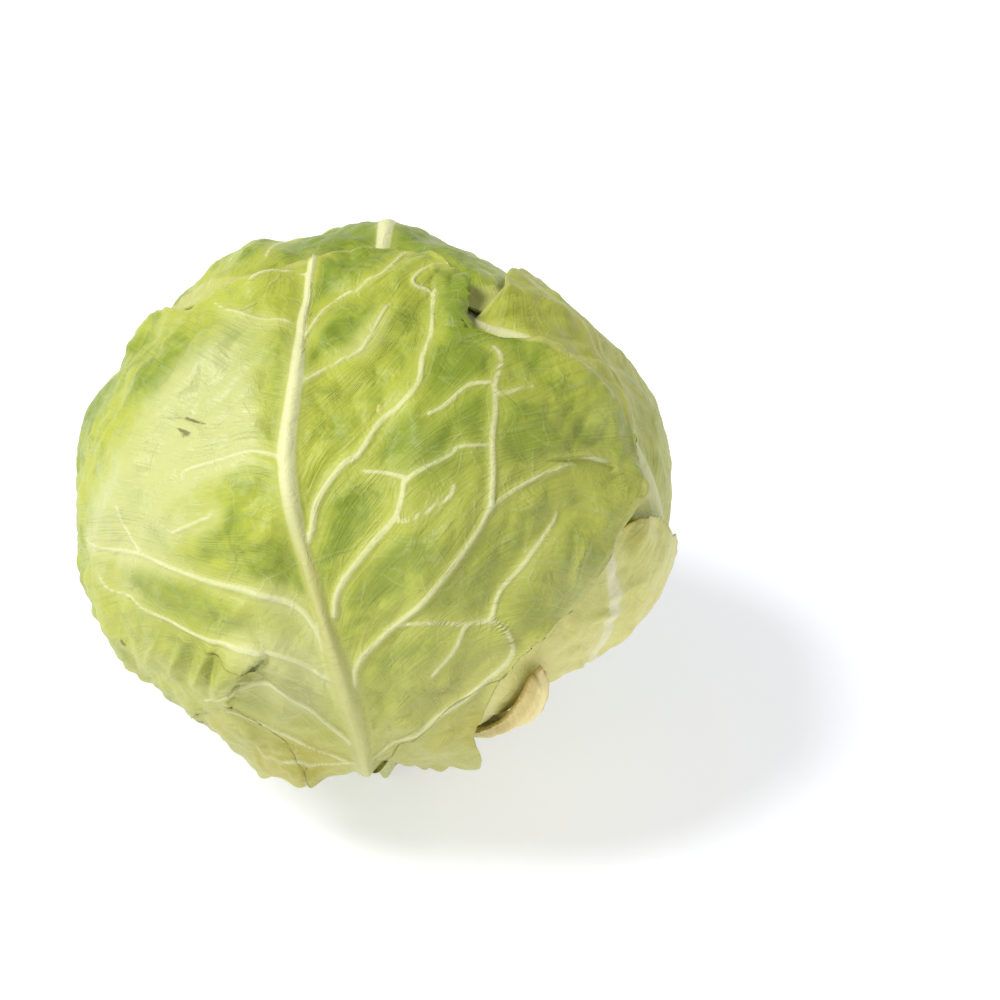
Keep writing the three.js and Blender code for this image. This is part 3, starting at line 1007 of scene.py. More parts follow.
@dataclass(frozen=True)
class Ruffle:
    """Small even waves of the front leaf's margin, round one bearing and angle."""

    past: tuple[float, float] = (250.0, 93.0)
    wide: float = 30.0
    waves: float = 40.0
    high: float = 1.0


@dataclass
class FrontLeaf(Leaf):
    """The front leaf: its midrib, rows, veins and folds are drawn as they are seen from the front."""

    table_steps: int = 400
    least_gap: float = 0.006  # between the starts of two rows on the midrib
    stands: tuple[Stand, ...] = ()
    ruffle: Ruffle = Ruffle()

    def prepare(self) -> None:
        """Lays the midrib, the rows and the places where the leaf stands out on the chart."""
        self.middles = [self.seen((s.at,))[0] if s.at else behind(*s.past) for s in self.stands]
        middle = np.vstack([self.by_stem(0), behind(270, 101), self.seen(MIDRIB)])
        self.rib_path = smooth_path(middle, 24)
        self.rib_at = fractions(self.rib_path)
        self.tables = {side: self.table(guides) for side, guides in ((-1, LEFT_GUIDES), (1, RIGHT_GUIDES))}

    def by_stem(self, turn: float) -> Array:
        """Where the leaf meets the side of the stem, level with its cut.

        Args:
            turn: degrees round the stem from the front.

        Returns:
            A place on the chart.
        """
        zero = np.zeros(1)
        down = CENTRE_UP - FLOOR - self.blade_thick(zero)[0] - self.rib_height(zero)[0]
        slope = math.degrees(math.atan2(STEM_R + 1.2, down))
        return self.chart.place(toward(turn, -90 + slope)[None])[0]

    def table(self, guides: tuple[Guide, ...]) -> tuple[Array, Array]:
        """The rows on one side of the midrib.

        Args:
            guides: what the rows run through.

        Returns:
            Where they start along the midrib, and places along each of them.
        """
        starts, rows = [], []
        for guide in guides:
            if isinstance(guide.start, tuple):
                spot = self.seen((guide.start,))[0]
                start = self.rib_at[np.argmin(length(self.rib_path - spot))]
            else:
                start = guide.start
            parts = [self.rib(np.array([start]))]
            if guide.to:
                parts.append(self.seen(guide.to))
            if guide.stem is not None:
                parts.append(self.by_stem(guide.stem)[None])
            parts += [behind(*past)[None] for past in guide.past]
            path = smooth_path(np.vstack(parts), 24)
            steps = np.linspace(0, 1, self.table_steps + 1)
            rows.append(np.column_stack([np.interp(steps, fractions(path), path[:, k]) for k in (0, 1)]))
            starts.append(max(start, starts[-1] + self.least_gap) if starts else start)
        return np.array(starts), np.array(rows)

    def rib(self, m: Array) -> Array:
        """Places along the midrib."""
        return np.column_stack([np.interp(m, self.rib_at, self.rib_path[:, k]) for k in (0, 1)])

    def point(self, m: Array, t: Array) -> Array:
        """Places on the leaf's chart, smoothly between the rows.

        Args:
            m: how far along the leaf.
            t: how far across it.

        Returns:
            Places, one in each row.
        """
        places = np.zeros((len(m), 2))
        for side in (-1, 1):
            hit = (t < 0) if side < 0 else (t >= 0)
            starts, rows = self.tables[side]
            k = np.clip(np.searchsorted(starts, m[hit], "right") - 1, 0, len(starts) - 2)
            f = ((m[hit] - starts[k]) / (starts[k + 1] - starts[k]))[:, None]
            spot = np.abs(t[hit]) * self.table_steps
            i = np.minimum(spot.astype(int), self.table_steps - 1)
            g = (spot - i)[:, None]
            at, begin = [], []
            for offset in (-1, 0, 1, 2):
                n = np.clip(k + offset, 0, len(starts) - 1)
                at.append(lerp(rows[n, i], rows[n, i + 1], g))
                begin.append(rows[n, 0])
            row, start = between(*at, f), between(*begin, f)
            places[hit] = row + (self.rib(m[hit]) - start) * (1 - np.abs(t[hit]))[:, None]
        return places

    def wave(self, m: Array, t: Array, places: Array, d: Array) -> Array:
        """Beside its usual waves it stands away in a few places, and its base reaches down the stem.

        Args:
            m: how far along the leaf.
            t: how far across it.
            places: the same points on the chart.
            d: their directions.

        Returns:
            One height for each.
        """
        swing = super().wave(m, t, places, d)
        foot = self.blade_thick(np.zeros(1))[0] + self.rib_height(np.zeros(1))[0]
        base = self.head.floor_below(d) - foot - self.head.under(self.level, d)
        swing = swing + np.where(m < 0.1, base, 0) * (1 - smoothstep(0, 0.1, m))
        bearing, far = np.arctan2(places[:, 1], places[:, 0]), length(places - behind(*self.ruffle.past))
        ruffle = self.ruffle.high * (1 + np.sin(self.ruffle.waves * bearing)) * gauss(far, self.ruffle.wide)
        return swing + (ruffle + self.stand_out(places)) * smoothstep(0.03, 0.13, m)

    def stand_out(self, places: Array) -> Array:
        """How far the leaf stands away from the head in a few places.

        Args:
            places: where on the chart.

        Returns:
            One height for each place.
        """
        total = np.zeros(len(places))
        for middle, stand in zip(self.middles, self.stands):
            total += stand.high * gauss(length(places - middle), stand.wide)
        return total

    def spot(self, pixels: Pixels) -> Array:
        """Places on the chart of what shows at some pixels, once the leaf stands out as it does."""
        return self.chart.place(self.head.view.directions(np.array(pixels, float), self.stood))

    def stood(self, d: Array) -> Array:
        """Distance of the blade's outer face from the head's centre, with the places where it stands out."""
        return self.laid(d) + self.stand_out(self.chart.place(d))

    def side_veins(self) -> list[Stroke]:
        """The veins with a path of their own, which are all that it has."""
        return self.drawn_veins()


SLIM = ((0.85, 0.62), (0.85, 0.62))
STOUT = ((1.28, 0.62), (1.28, 0.62))
TWIGLIKE = ((0.9, 0.7), (0.55, 0.3))
FRONT_VEINS = (
    Vein(
        ((367, 753), (397, 735), (432, 714), (466, 693), (505, 661), (509, 645), (501, 629), (490, 620),
         (491, 608), (498, 590), (514, 572), (533, 549), (553, 521), (556, 510)),
        (1.2, 0.62),
    ),
    Vein(((490, 620), (462, 623), (430, 621), (397, 622)), *TWIGLIKE),
    Vein(((462, 623), (448, 650), (427, 675)), *TWIGLIKE),
    Vein(
        ((349, 682), (354, 659), (374, 638), (409, 609), (450, 565), (478, 528), (493, 505), (533, 480),
         (580, 462), (600, 465)),
        (1.2, 0.62), (1.2, 0.62),
    ),
    Vein(
        ((490, 508), (493, 470), (493, 440), (497, 410), (497, 385), (503, 365), (503, 355),
         (497, 348)),
        (1.2, 1.0),
    ),
    Vein(((500, 395), (520, 390), (535, 386)), *TWIGLIKE),
    Vein(((492, 382), (470, 385), (445, 405), (430, 412)), *TWIGLIKE),
    Vein(
        ((332, 610), (334, 592), (345, 572), (372, 540), (395, 514), (403, 487), (404, 480), (419, 469),
         (436, 461), (453, 452), (460, 446), (492, 445)),
        *STOUT,
    ),
    Vein(((397, 518), (410, 517), (447, 497), (454, 484)), *TWIGLIKE),
    Vein(((404, 475), (385, 470), (365, 468)), *TWIGLIKE),
    Vein(
        ((305, 540), (312, 525), (315, 505), (325, 485), (345, 460), (360, 451), (382, 419), (403, 402),
         (421, 380), (425, 356), (434, 334), (437, 304), (436, 291), (418, 282), (425, 271), (440, 265),
         (453, 264)),
        (1.36, 0.62), (1.28, 0.62),
    ),
    Vein(((299, 380), (307, 375), (340, 359), (362, 349), (373, 334), (388, 308), (395, 302)), *SLIM),
    Vein(
        ((308, 335), (311, 330), (330, 305), (350, 292), (360, 289), (373, 278), (390, 269),
         (412, 250)),
        *SLIM,
    ),
    Vein(
        ((348, 757), (327, 750), (302, 740), (277, 727), (253, 715), (223, 702)),
        (1.04, 0.62), (1.12, 0.72),
    ),
    Vein(((345, 757), (310, 758), (287, 755), (263, 747), (253, 740)), (1.2, 1.0), (0.8, 0.5)),
    Vein(
        ((345, 738), (337, 730), (310, 707), (277, 685), (260, 676), (240, 680), (220, 687),
         (202, 692)),
        (1.12, 0.62), (1.12, 0.63),
    ),
    Vein(
        ((332, 674), (320, 671), (288, 653), (262, 645), (229, 636), (201, 630), (168, 612), (142, 599),
         (129, 586), (110, 580), (99, 565)),
        (0.96, 0.62), (1.04, 0.62),
    ),
    Vein(
        ((322, 645), (318, 632), (303, 608), (277, 593), (244, 584), (212, 575), (190, 567), (164, 556),
         (142, 545), (108, 539), (88, 530)),
        *STOUT,
    ),
    Vein(((142, 545), (127, 519), (118, 497)), *SLIM),
    Vein(
        ((292, 462), (288, 455), (254, 445), (223, 453), (188, 463), (184, 473)),
        (0.88, 0.62), (0.85, 0.62),
    ),
    Vein(((212, 508), (192, 517), (173, 525)), *SLIM),
    Vein(((312, 322), (303, 320), (284, 316), (260, 314), (237, 306), (221, 299)), *SLIM),
    Vein(((316, 272), (300, 270), (280, 269), (256, 275)), *SLIM),
)
LOW_RIGHT_FOLDS = (
    Fold(((552, 670), (575, 664), (602, 654)), 1.8, 1.6),
    Fold(((545, 660), (568, 650), (590, 640)), 1.8, -1.2),
    Fold(((580, 624), (600, 618), (622, 611)), 1.6, 1.4),
    Fold(((575, 634), (598, 628), (620, 622)), 1.4, -1.0),
    Fold(((604, 590), (618, 574), (632, 568)), 1.6, -1.3),
    Fold(((600, 604), (624, 592), (646, 586)), 2.0, 1.3),
    Fold(((632, 560), (640, 540), (646, 520)), 2.2, 1.2),
    Fold(((624, 552), (632, 532), (636, 512)), 1.6, -1.0),
    Fold(((652, 566), (658, 546), (662, 528)), 1.6, 1.0),
)
LOW_RIGHT_TINTS = (
    Tint("warm", (655, 600), 9, 0.5),
    Tint("warm", (640, 625), 8, 0.5),
    Tint("warm", (575, 672), 7, 0.45),
    Tint("warm", (520, 700), 8, 0.4),
    Tint("deep", (600, 600), 12, 0.6),
    Tint("deep", (640, 545), 10, 0.5),
)
BACK_TINTS = (Tint("deep", (330, 240), 26, 0.5), Tint("deep", (430, 245), 30, 0.6))
FRONT_FOLDS = (
    Fold(((212, 632), (203, 657), (193, 683)), 1.8, 3.2),
    Fold(((240, 640), (227, 664), (211, 690)), 2.6, 3.8),
    Fold(((184, 628), (176, 652), (168, 674)), 1.8, 2.6),
    Fold(((160, 622), (152, 640), (143, 655)), 1.7, 1.4),
    Fold(((196, 632), (189, 654), (183, 675)), 1.2, -0.8),
    Fold(((218, 640), (209, 661), (200, 686)), 1.2, -0.8),
    Fold(((256, 592), (238, 602), (224, 614), (214, 624)), 2.4, 1.8),
    Fold(((224, 588), (206, 598), (192, 608)), 2.4, 1.3),
    Fold(((250, 588), (228, 601), (215, 610), (209, 618)), 1.2, -0.8),
    Fold(((200, 707), (226, 714), (246, 724), (258, 740), (264, 756)), 2.0, 2.2),
    Fold(((222, 704), (246, 716), (268, 732), (300, 744), (338, 752)), 1.8, -0.8),
    Fold(((244, 730), (254, 748), (262, 762)), 1.6, -0.8),
    Fold(((272, 748), (280, 760), (290, 772)), 1.8, 1.6),
    Fold(((300, 756), (306, 768), (312, 780)), 2.0, 1.5),
    Fold(((290, 752), (298, 764), (303, 778)), 1.2, -0.8),
    Fold(((236, 398), (246, 412), (262, 430), (284, 452)), 2.6, 1.3),
    Fold(((227, 378), (238, 402), (248, 418), (262, 438), (280, 468)), 1.6, -0.8),
    Fold(((158, 312), (160, 343), (162, 363)), 1.8, -0.8),
    Fold(((170, 314), (172, 343), (174, 363)), 2.4, 1.0),
    Fold(((78, 443), (84, 449), (88, 458)), 1.4, -0.8),
    Fold(((200, 470), (190, 492), (182, 520)), 5.0, 1.2),
    Fold(((590, 537), (580, 555), (575, 570), (570, 600)), 1.3, 1.6),
    Fold(((572, 545), (566, 568), (562, 592)), 1.4, -0.8),
    Fold(((360, 480), (353, 520), (352, 550)), 3.4, -0.8),
    Fold(((420, 580), (450, 540), (470, 500)), 6.0, 1.2),
    Fold(((340, 430), (350, 400), (368, 378)), 3.0, -0.8),
    Fold(((395, 450), (420, 436), (440, 428)), 4.0, 1.0),
    Fold(((455, 420), (470, 440), (478, 470)), 3.5, 1.0),
    Fold(((520, 420), (545, 440), (575, 446)), 4.0, 1.0),
    Fold(((510, 450), (540, 460), (570, 455)), 2.5, -0.8),
    Fold(((370, 620), (410, 590), (440, 560)), 5.0, 0.9),
    Fold(((430, 660), (455, 640), (476, 632)), 4.0, 1.0),
    Fold(((520, 560), (536, 575), (540, 590)), 4.0, 0.9),
)
FRONT_STANDS = (
    Stand(13, 42, past=(257, 88)),
    Stand(5, 22, past=(238, 88)),
    Stand(3.5, 16, at=(472, 750)),
    Stand(2.5, 12, at=(618, 485)),
    Stand(0.4, 8, at=(478, 322)),
)
FRONT_SCARPS = (
    Scarp(((230, 688), (238, 670), (250, 658), (268, 646)), 4.6, 8.0, 0.8),
    Scarp(((438, 280), (440, 308), (445, 322), (462, 326), (480, 327)), 2.4, 9.0, 0.8),
    Scarp(((547, 312), (540, 327), (535, 341)), 2.2, 6.0, 0.8),
    Scarp(((566, 461), (588, 462), (609, 473), (620, 493), (640, 499)), 2.6, 5.0, 0.7),
    Scarp(((208, 430), (200, 416), (180, 411), (156, 412)), 1.0, 3.0, 0.4),
)
# Brown scars, specks and torn margins, and one painted shade line under a curled edge.
FRONT_BLEMISHES_AND_SHADE = (
    Fold(((158, 412), (182, 411), (198, 414), (209, 418), (207, 428), (203, 438)), 0.7, 1.1),
    Fold(((176, 420), (190, 426), (200, 432)), 0.8, 1.2),
    Fold(((180, 429), (190, 430)), 0.9, 0.7),
    Fold(((220, 398), (240, 410), (258, 424)), 1.6, 0.35),
    Fold(((617, 520), (611, 548), (600, 565)), 0.8, 0.6),
    Fold(((582, 606), (556, 622), (530, 650), (504, 676), (478, 702)), 0.6, 0.55),
    Fold(((186, 704), (200, 713), (218, 722)), 1.5, 0.8),
    Fold(((116, 628), (126, 638)), 1.5, 0.9),
    # Painted shade: a dark line along the curled right edge, where the curl shades the blade under it.
    Fold(((574, 461), (606, 474), (630, 500)), 0.6, 0.7),
    Fold(((100, 386), (112, 398)), 1.4, 0.6),
    Fold(((140, 655), (152, 670)), 1.4, 0.8),
)
FRONT_TINTS_AND_SHEEN = (
    Tint("deep", (462, 300), 12, 1.0),
    Tint("deep", (505, 320), 14, 0.8),
    Tint("deep", (450, 365), 12, 0.8),
    Tint("deep", (430, 450), 13, 1.1),
    Tint("deep", (520, 430), 20, 0.55),
    Tint("deep", (475, 565), 22, 0.6),
    Tint("deep", (590, 440), 12, 0.4),
    Tint("deep", (350, 300), 14, 0.3),
    Tint("deep", (335, 500), 9, 0.5),
    Tint("deep", (150, 590), 14, 0.45),
    Tint("deep", (190, 610), 12, 0.45),
    # Painted sheen: the pale patches on the lit upper left, from (205, 405) down to (110, 520), whiten the
    # colour where the key light's waxy highlight falls; the other pale patches are paler leaf.
    Tint("pale", (205, 405), 20, 0.9),
    Tint("pale", (235, 425), 9, 0.8),
    Tint("pale", (160, 470), 36, 0.75),
    Tint("pale", (110, 520), 26, 0.6),
    Tint("pale", (270, 630), 20, 0.6),
    Tint("pale", (245, 335), 22, 0.6),
    Tint("pale", (375, 335), 20, 0.5),
    Tint("pale", (300, 690), 20, 0.8),
    Tint("pale", (570, 590), 18, 0.7),
    Tint("pale", (605, 425), 16, 0.6),
    Tint("warm", (290, 762), 24, 1.0),
    Tint("warm", (215, 716), 6, 0.6),
    Tint("warm", (480, 730), 9, 0.6),
    Tint("warm", (420, 735), 26, 0.4),
)


class Head:
    """The heart and the leaves that lie on it, from the inside out."""

    def __init__(self, heart: Heart, leaves: list[Leaf]) -> None:
        """Lays the leaves on the heart one by one.

        Args:
            heart: the inner head.
            leaves: the leaves, from the inside out.
        """
        self.heart, self.leaves, self.view = heart, [], View()
        for level, leaf in enumerate(leaves):
            leaf.join(self, level)
            self.leaves.append(leaf)

    def under(self, level: int, d: Array) -> Array:
        """Height of everything inside a leaf, in each direction."""
        return self.heart.radius(d) + LEAF_GAP + sum(leaf.lift(d) for leaf in self.leaves[:level])

    def free(self, level: int, d: Array) -> Array:
        """Share of each direction that no later leaf holds down.

        Args:
            level: how many leaves are inside the leaf in question.
            d: directions, one in each row.

        Returns:
            One share for each.
        """
        share = np.ones(len(d))
        for leaf in self.leaves[level + 1 :]:
            share = share * (1 - leaf.cover(d))
        return share

    def floor_below(self, d: Array) -> Array:
        """How far each direction can be followed down before it meets the floor."""
        down = np.minimum(d[:, 2], -1e-6)
        return np.where(d[:, 2] < 0, (CENTRE_UP - FLOOR) / -down, np.inf)


@dataclass
class Stem:
    """The cut stem under the heart, with scars where earlier leaves grew."""

    up: float = 25.5
    around: int = 120
    rings: int = 40
    scar: float = 0.45
    crinkle: float = 0.15
    cut_edge: float = 2.2  # the flat of the cut face ends this far inside the stem's side

    def build(self) -> bpy.types.Object:
        """A closed round stem whose side is scarred and whose cut face is flat.

        Returns:
            The piece.
        """
        profile_z = np.array([0, 0.8, 4, 9, self.up])
        profile_r = np.array([STEM_R - 1, STEM_R - 0.2, STEM_R, STEM_R - 0.8, STEM_R - 1.5])
        z = np.concatenate([[0], np.linspace(0, self.up, self.rings)])
        turn = np.linspace(0, 2 * math.pi, self.around, endpoint=False)
        up, a = (grid.ravel() for grid in np.meshgrid(z, turn, indexing="ij"))
        bark = ripple(np.column_stack([np.cos(a) * 9, np.sin(a) * 9, up]), 5, Seed.STEM)
        scar = self.scar * np.abs(np.sin(1.5 * a + up * 0.32)) ** 8 + self.crinkle * np.abs(bark)
        r = np.interp(up, profile_z, profile_r) - scar * smoothstep(0.5, 3, up)
        r[: self.around] = STEM_R - self.cut_edge
        points = np.column_stack([np.cos(a) * r, np.sin(a) * r, up])
        points = np.vstack([points, [0, 0, 0], [0, 0, self.up]]) - (0, 0, CENTRE_UP)
        marks = {"up": np.concatenate([up, [0, self.up]])}
        return make_piece("stem_fine", points, ring_faces(len(z), self.around), marks)


def tone(red: float, green: float, blue: float) -> Colour:
    """A colour from values of 0 to 255 as a screen shows them."""
    return tuple(((c / 255 + 0.055) / 1.055) ** 2.4 for c in (red, green, blue))


class Maths(Enum):
    """The arithmetic that the finishes use."""

    ADD = "ADD"
    SUBTRACT = "SUBTRACT"
    MULTIPLY = "MULTIPLY"
    POWER = "POWER"


class Term:
    """A value in a finish. Arithmetic on it adds Math nodes."""

    def __init__(self, shader: "Shader", socket: bpy.types.NodeSocket) -> None:
        """Wraps one socket."""
        self.shader, self.socket = shader, socket

    def __add__(self, other: "Term | float") -> "Term":
        """The sum."""
        return self.shader.maths(Maths.ADD, self, other)

    def __radd__(self, other: float) -> "Term":
        """The sum, from the right."""
        return self.shader.maths(Maths.ADD, other, self)

    def __sub__(self, other: "Term | float") -> "Term":
        """The difference."""
        return self.shader.maths(Maths.SUBTRACT, self, other)

    def __rsub__(self, other: float) -> "Term":
        """The difference, from the right."""
        return self.shader.maths(Maths.SUBTRACT, other, self)

    def __mul__(self, other: "Term | float") -> "Term":
        """The product."""
        return self.shader.maths(Maths.MULTIPLY, self, other)

    def __rmul__(self, other: float) -> "Term":
        """The product, from the right."""
        return self.shader.maths(Maths.MULTIPLY, other, self)

    def __pow__(self, other: float) -> "Term":
        """The power."""
        return self.shader.maths(Maths.POWER, self, other)


Input = Term | float | tuple[float, ...]


class Shader:
    """A material and its nodes."""

    def __init__(self, name: str) -> None:
        """Starts a material with one plain surface shader.

        Args:
            name: the material's name.
        """
        self.material = bpy.data.materials.new(name)
        self.material.use_nodes = True
        self.tree = self.material.node_tree
        self.surface = next(n for n in self.tree.nodes if n.type == "BSDF_PRINCIPLED")
        self.place = self.node("ShaderNodeTexCoord", output="Object")

    def node(
        self,
        kind: str,
        settings: dict[str, object] | None = None,
        inputs: dict[str | int, Input] | None = None,
        output: str | int = 0,
    ) -> Term:
        """Adds a node.

        Args:
            kind: the node's type.
            settings: its options, set first.
            inputs: values or links of its sockets.
            output: which output to return.

        Returns:
            That output as a term.
        """
        made = self.tree.nodes.new(kind)
        for key, value in (settings or {}).items():
            setattr(made, key, value)
        for key, value in (inputs or {}).items():
            self.feed(made.inputs[key], value)
        return Term(self, made.outputs[output])

    def feed(self, socket: bpy.types.NodeSocket, value: Input) -> None:
        """Sets a socket or links it.

        Args:
            socket: the socket.
            value: a value, or the term that feeds it.
        """
        if isinstance(value, Term):
            self.tree.links.new(value.socket, socket)
        elif isinstance(value, tuple) and len(value) == 3 and socket.type == "RGBA":
            socket.default_value = (*value, 1)
        else:
            socket.default_value = value

    def maths(self, operation: Maths, a: Term | float, b: Term | float) -> Term:
        """Arithmetic on two values."""
        return self.node("ShaderNodeMath", {"operation": operation.value}, {0: a, 1: b})

    def mark(self, name: str) -> Term:
        """A value that the mesh carries at its points."""
        return self.node("ShaderNodeAttribute", {"attribute_name": name}, output="Fac")

    def rise(self, value: Term, low: float, high: float) -> Term:
        """A smooth rise from 0 at one value to 1 at another. It falls where the first is the higher.

        Args:
            value: what is looked at.
            low: where the result is 0.
            high: where the result is 1.

        Returns:
            The result.
        """
        settings, inputs = {"interpolation_type": "SMOOTHSTEP"}, {"Value": value}
        if low < high:
            inputs |= {"From Min": low, "From Max": high}
        else:
            inputs |= {"From Min": high, "From Max": low, "To Min": 1.0, "To Max": 0.0}
        return self.node("ShaderNodeMapRange", settings, inputs)

    def noise(self, size: float, detail: float = 3.0, rough: float = 0.55, bend: float = 0.0) -> Term:
        """Cloudy noise whose lumps are about this many millimetres across."""
        inputs = {"Vector": self.place, "Scale": 1 / METRES / size, "Detail": detail}
        return self.node("ShaderNodeTexNoise", {}, inputs | {"Roughness": rough, "Distortion": bend})

    def streaks(self, wide: float, long: float) -> Term:
        """Noise drawn out into streaks that run from the midrib to the edge.

        Args:
            wide: how wide a streak is, in millimetres.
            long: how long it is.

        Returns:
            The noise.
        """
        spot = {"X": self.mark("along") * (1 / wide), "Y": self.mark("across") * (1 / long)}
        inputs = {"Vector": self.node("ShaderNodeCombineXYZ", {}, spot), "Scale": 1.0, "Detail": 3.0}
        return self.node("ShaderNodeTexNoise", {}, inputs | {"Distortion": 0.5})

    def cells(self, size: float, bend: float) -> Term:
        """Distance to the wandering walls of cells.

        Args:
            size: how wide a cell is, in millimetres.
            bend: how far its walls wander, as a share of that.

        Returns:
            The distance.
        """
        drift = self.node("ShaderNodeTexNoise", {}, {"Vector": self.place, "Scale": 600 / size}, "Color")
        wander = {0: drift, "Scale": bend * size * METRES}
        pushed = self.node("ShaderNodeVectorMath", {"operation": "SCALE"}, wander)
        moved = self.node("ShaderNodeVectorMath", {"operation": "ADD"}, {0: self.place, 1: pushed})
        inputs = {"Vector": moved, "Scale": 1 / METRES / size}
        return self.node("ShaderNodeTexVoronoi", {"feature": "DISTANCE_TO_EDGE"}, inputs)

    def mix(self, factor: Term | float, a: Input, b: Input) -> Term:
        """A colour part of the way from one to another."""
        return self.node("ShaderNodeMix", {"data_type": "RGBA"}, {0: factor, 6: a, 7: b}, 2)

    def bump(self, height: Term, depth: float) -> None:
        """Fine relief, in millimetres, on the surface's normal."""
        inputs = {"Height": height, "Distance": depth * METRES, "Strength": 1.0}
        self.feed(self.surface.inputs["Normal"], self.node("ShaderNodeBump", {}, inputs))

    def finish(self, **sockets: Input) -> bpy.types.Material:
        """Sets the surface shader's sockets, named with _ for a space."""
        for key, value in sockets.items():
            self.feed(self.surface.inputs[key.replace("_", " ")], value)
        return self.material


@dataclass(frozen=True)
class LeafFinish:
    """The waxy surface of a leaf: its greens, veins, edge and fine relief."""

    name: str
    slot: str
    mid: Colour
    deep: Colour
    pale: Colour
    vein: Colour
    warm: Colour
    edge: Colour
    rib: Colour
    # The dark brown of scars, also used for a painted shade line under a curled edge.
    scar: Colour = (0.13, 0.1, 0.025)
    vein_strength: float = 0.85
    roughness: float = 0.46
    ior: float = 1.36
    wax: float = 0.06
    wax_roughness: float = 0.3
    relief: float = 0.5

    def material(self) -> bpy.types.Material:
        """Builds the material.

        Returns:
            The material.
        """
        s = Shader(self.name)
        broad, cloud, fine = s.noise(30, 4, 0.6, 0.4), s.noise(8, 4, 0.62, 0.8), s.noise(1.3, 2, 0.7)
        streak = s.streaks(2.4, 22)
        share, near, rim, rib = s.mark("vein"), s.mark("near"), s.mark("rim"), s.mark("rib")
        away = s.rise(near, 1.0, 8.0)
        deep = s.rise(broad + 0.5 * cloud + 0.25 * streak, 0.72, 1.1) * away + 0.75 * s.mark("deep")
        # pale: paler leaf near the veins and in the pale patches; on the front leaf's lit upper left these
        # patches are painted sheen.
        pale = s.rise(s.mark("pale") + 0.5 * (1 - away) * cloud + 0.3 * broad, 0.5, 1.25)
        colour = s.mix(deep, self.mid, self.deep)
        colour = s.mix(0.8 * pale, colour, self.pale)
        colour = s.mix(0.85 * s.rise(s.mark("foot"), 0.35, 0.9), colour, self.rib)
        colour = s.mix(0.18 * s.rise(streak, 0.5, 0.75), colour, self.pale)
        colour = s.mix(s.rise(s.mark("warm") + 0.35 * cloud, 0.3, 1.1), colour, self.warm)
        wall = s.rise(s.cells(9, 0.7), 0.045, 0.012) * s.rise(cloud, 0.4, 0.6)
        colour = s.mix(0.1 * wall, colour, self.vein)
        line = s.rise(s.mark("twig"), 1.4, 0.3) * s.rise(cloud, 0.3, 0.65)
        colour = s.mix(0.2 * line, colour, self.vein)
        colour = s.mix(0.14 * s.rise(share, 3.2, 0.8), colour, self.pale)
        crest = s.rise(share + 0.6 * (fine - 0.5), 1.2, 0.35)
        colour = s.mix(self.vein_strength * crest * (0.55 + 0.6 * cloud), colour, self.vein)
        stalk = s.mix(s.rise(s.mark("foot"), 0.6, 0.95), self.rib, self.pale)
        stalk = s.mix(s.rise(s.mark("foot"), 0.44, 0.3), stalk, self.vein)
        colour = s.mix(0.75 * s.rise(rib + 0.2 * (cloud - 0.5), 1.15, 0.8), colour, stalk)
        colour = s.mix(0.55 * s.rise(rim + 1.2 * (cloud - 0.5), 1.5, 0.1), colour, self.edge)
        # Brown scars and specks, and a painted shade line under the front leaf's curled right edge.
        specks_and_shade = s.rise(s.mark("brown") + 0.9 * (fine - 0.5), 0.45, 0.85)
        colour = s.mix(0.75 * specks_and_shade, colour, self.scar)
        crease = ((s.noise(13, 3, 0.6, 1.2) - 0.5) ** 2.0) ** 0.5
        rough = self.roughness + 0.16 * (cloud - 0.5) + 0.12 * crest - 0.08 * pale
        grain = 0.6 * cloud + 0.8 * streak * s.rise(rib, 0.9, 1.8) + 0.14 * fine
        s.bump(grain + 0.15 * wall + 0.2 * line - 2.4 * crease, self.relief)
        s.finish(IOR=self.ior, Coat_Weight=self.wax, Coat_Roughness=self.wax_roughness)
        return s.finish(Base_Color=colour, Roughness=rough)


@dataclass(frozen=True)
class CutFinish:
    """The corky side and the pale ringed cut face of the stem."""

    name: str = "stem_bark"
    slot: str = "stem"
    face: tuple[Colour, Colour] = (tone(226, 220, 176), tone(188, 176, 116))
    bark: tuple[Colour, Colour] = (tone(200, 196, 138), tone(150, 132, 84))

    def material(self) -> bpy.types.Material:
        """Builds the material.

        Returns:
            The material.
        """
        s = Shader(self.name)
        cloud, fine = s.noise(5, 4, 0.6), s.noise(0.9, 3, 0.7)
        side = s.rise(s.mark("up"), 0.05, 1.2)
        colour = s.mix(side, s.mix(cloud, *self.face), s.mix(s.rise(cloud, 0.35, 0.7), *self.bark))
        s.bump(cloud + 0.5 * fine, 0.3)
        return s.finish(Base_Color=colour, Roughness=0.6 + 0.2 * fine, IOR=1.4)


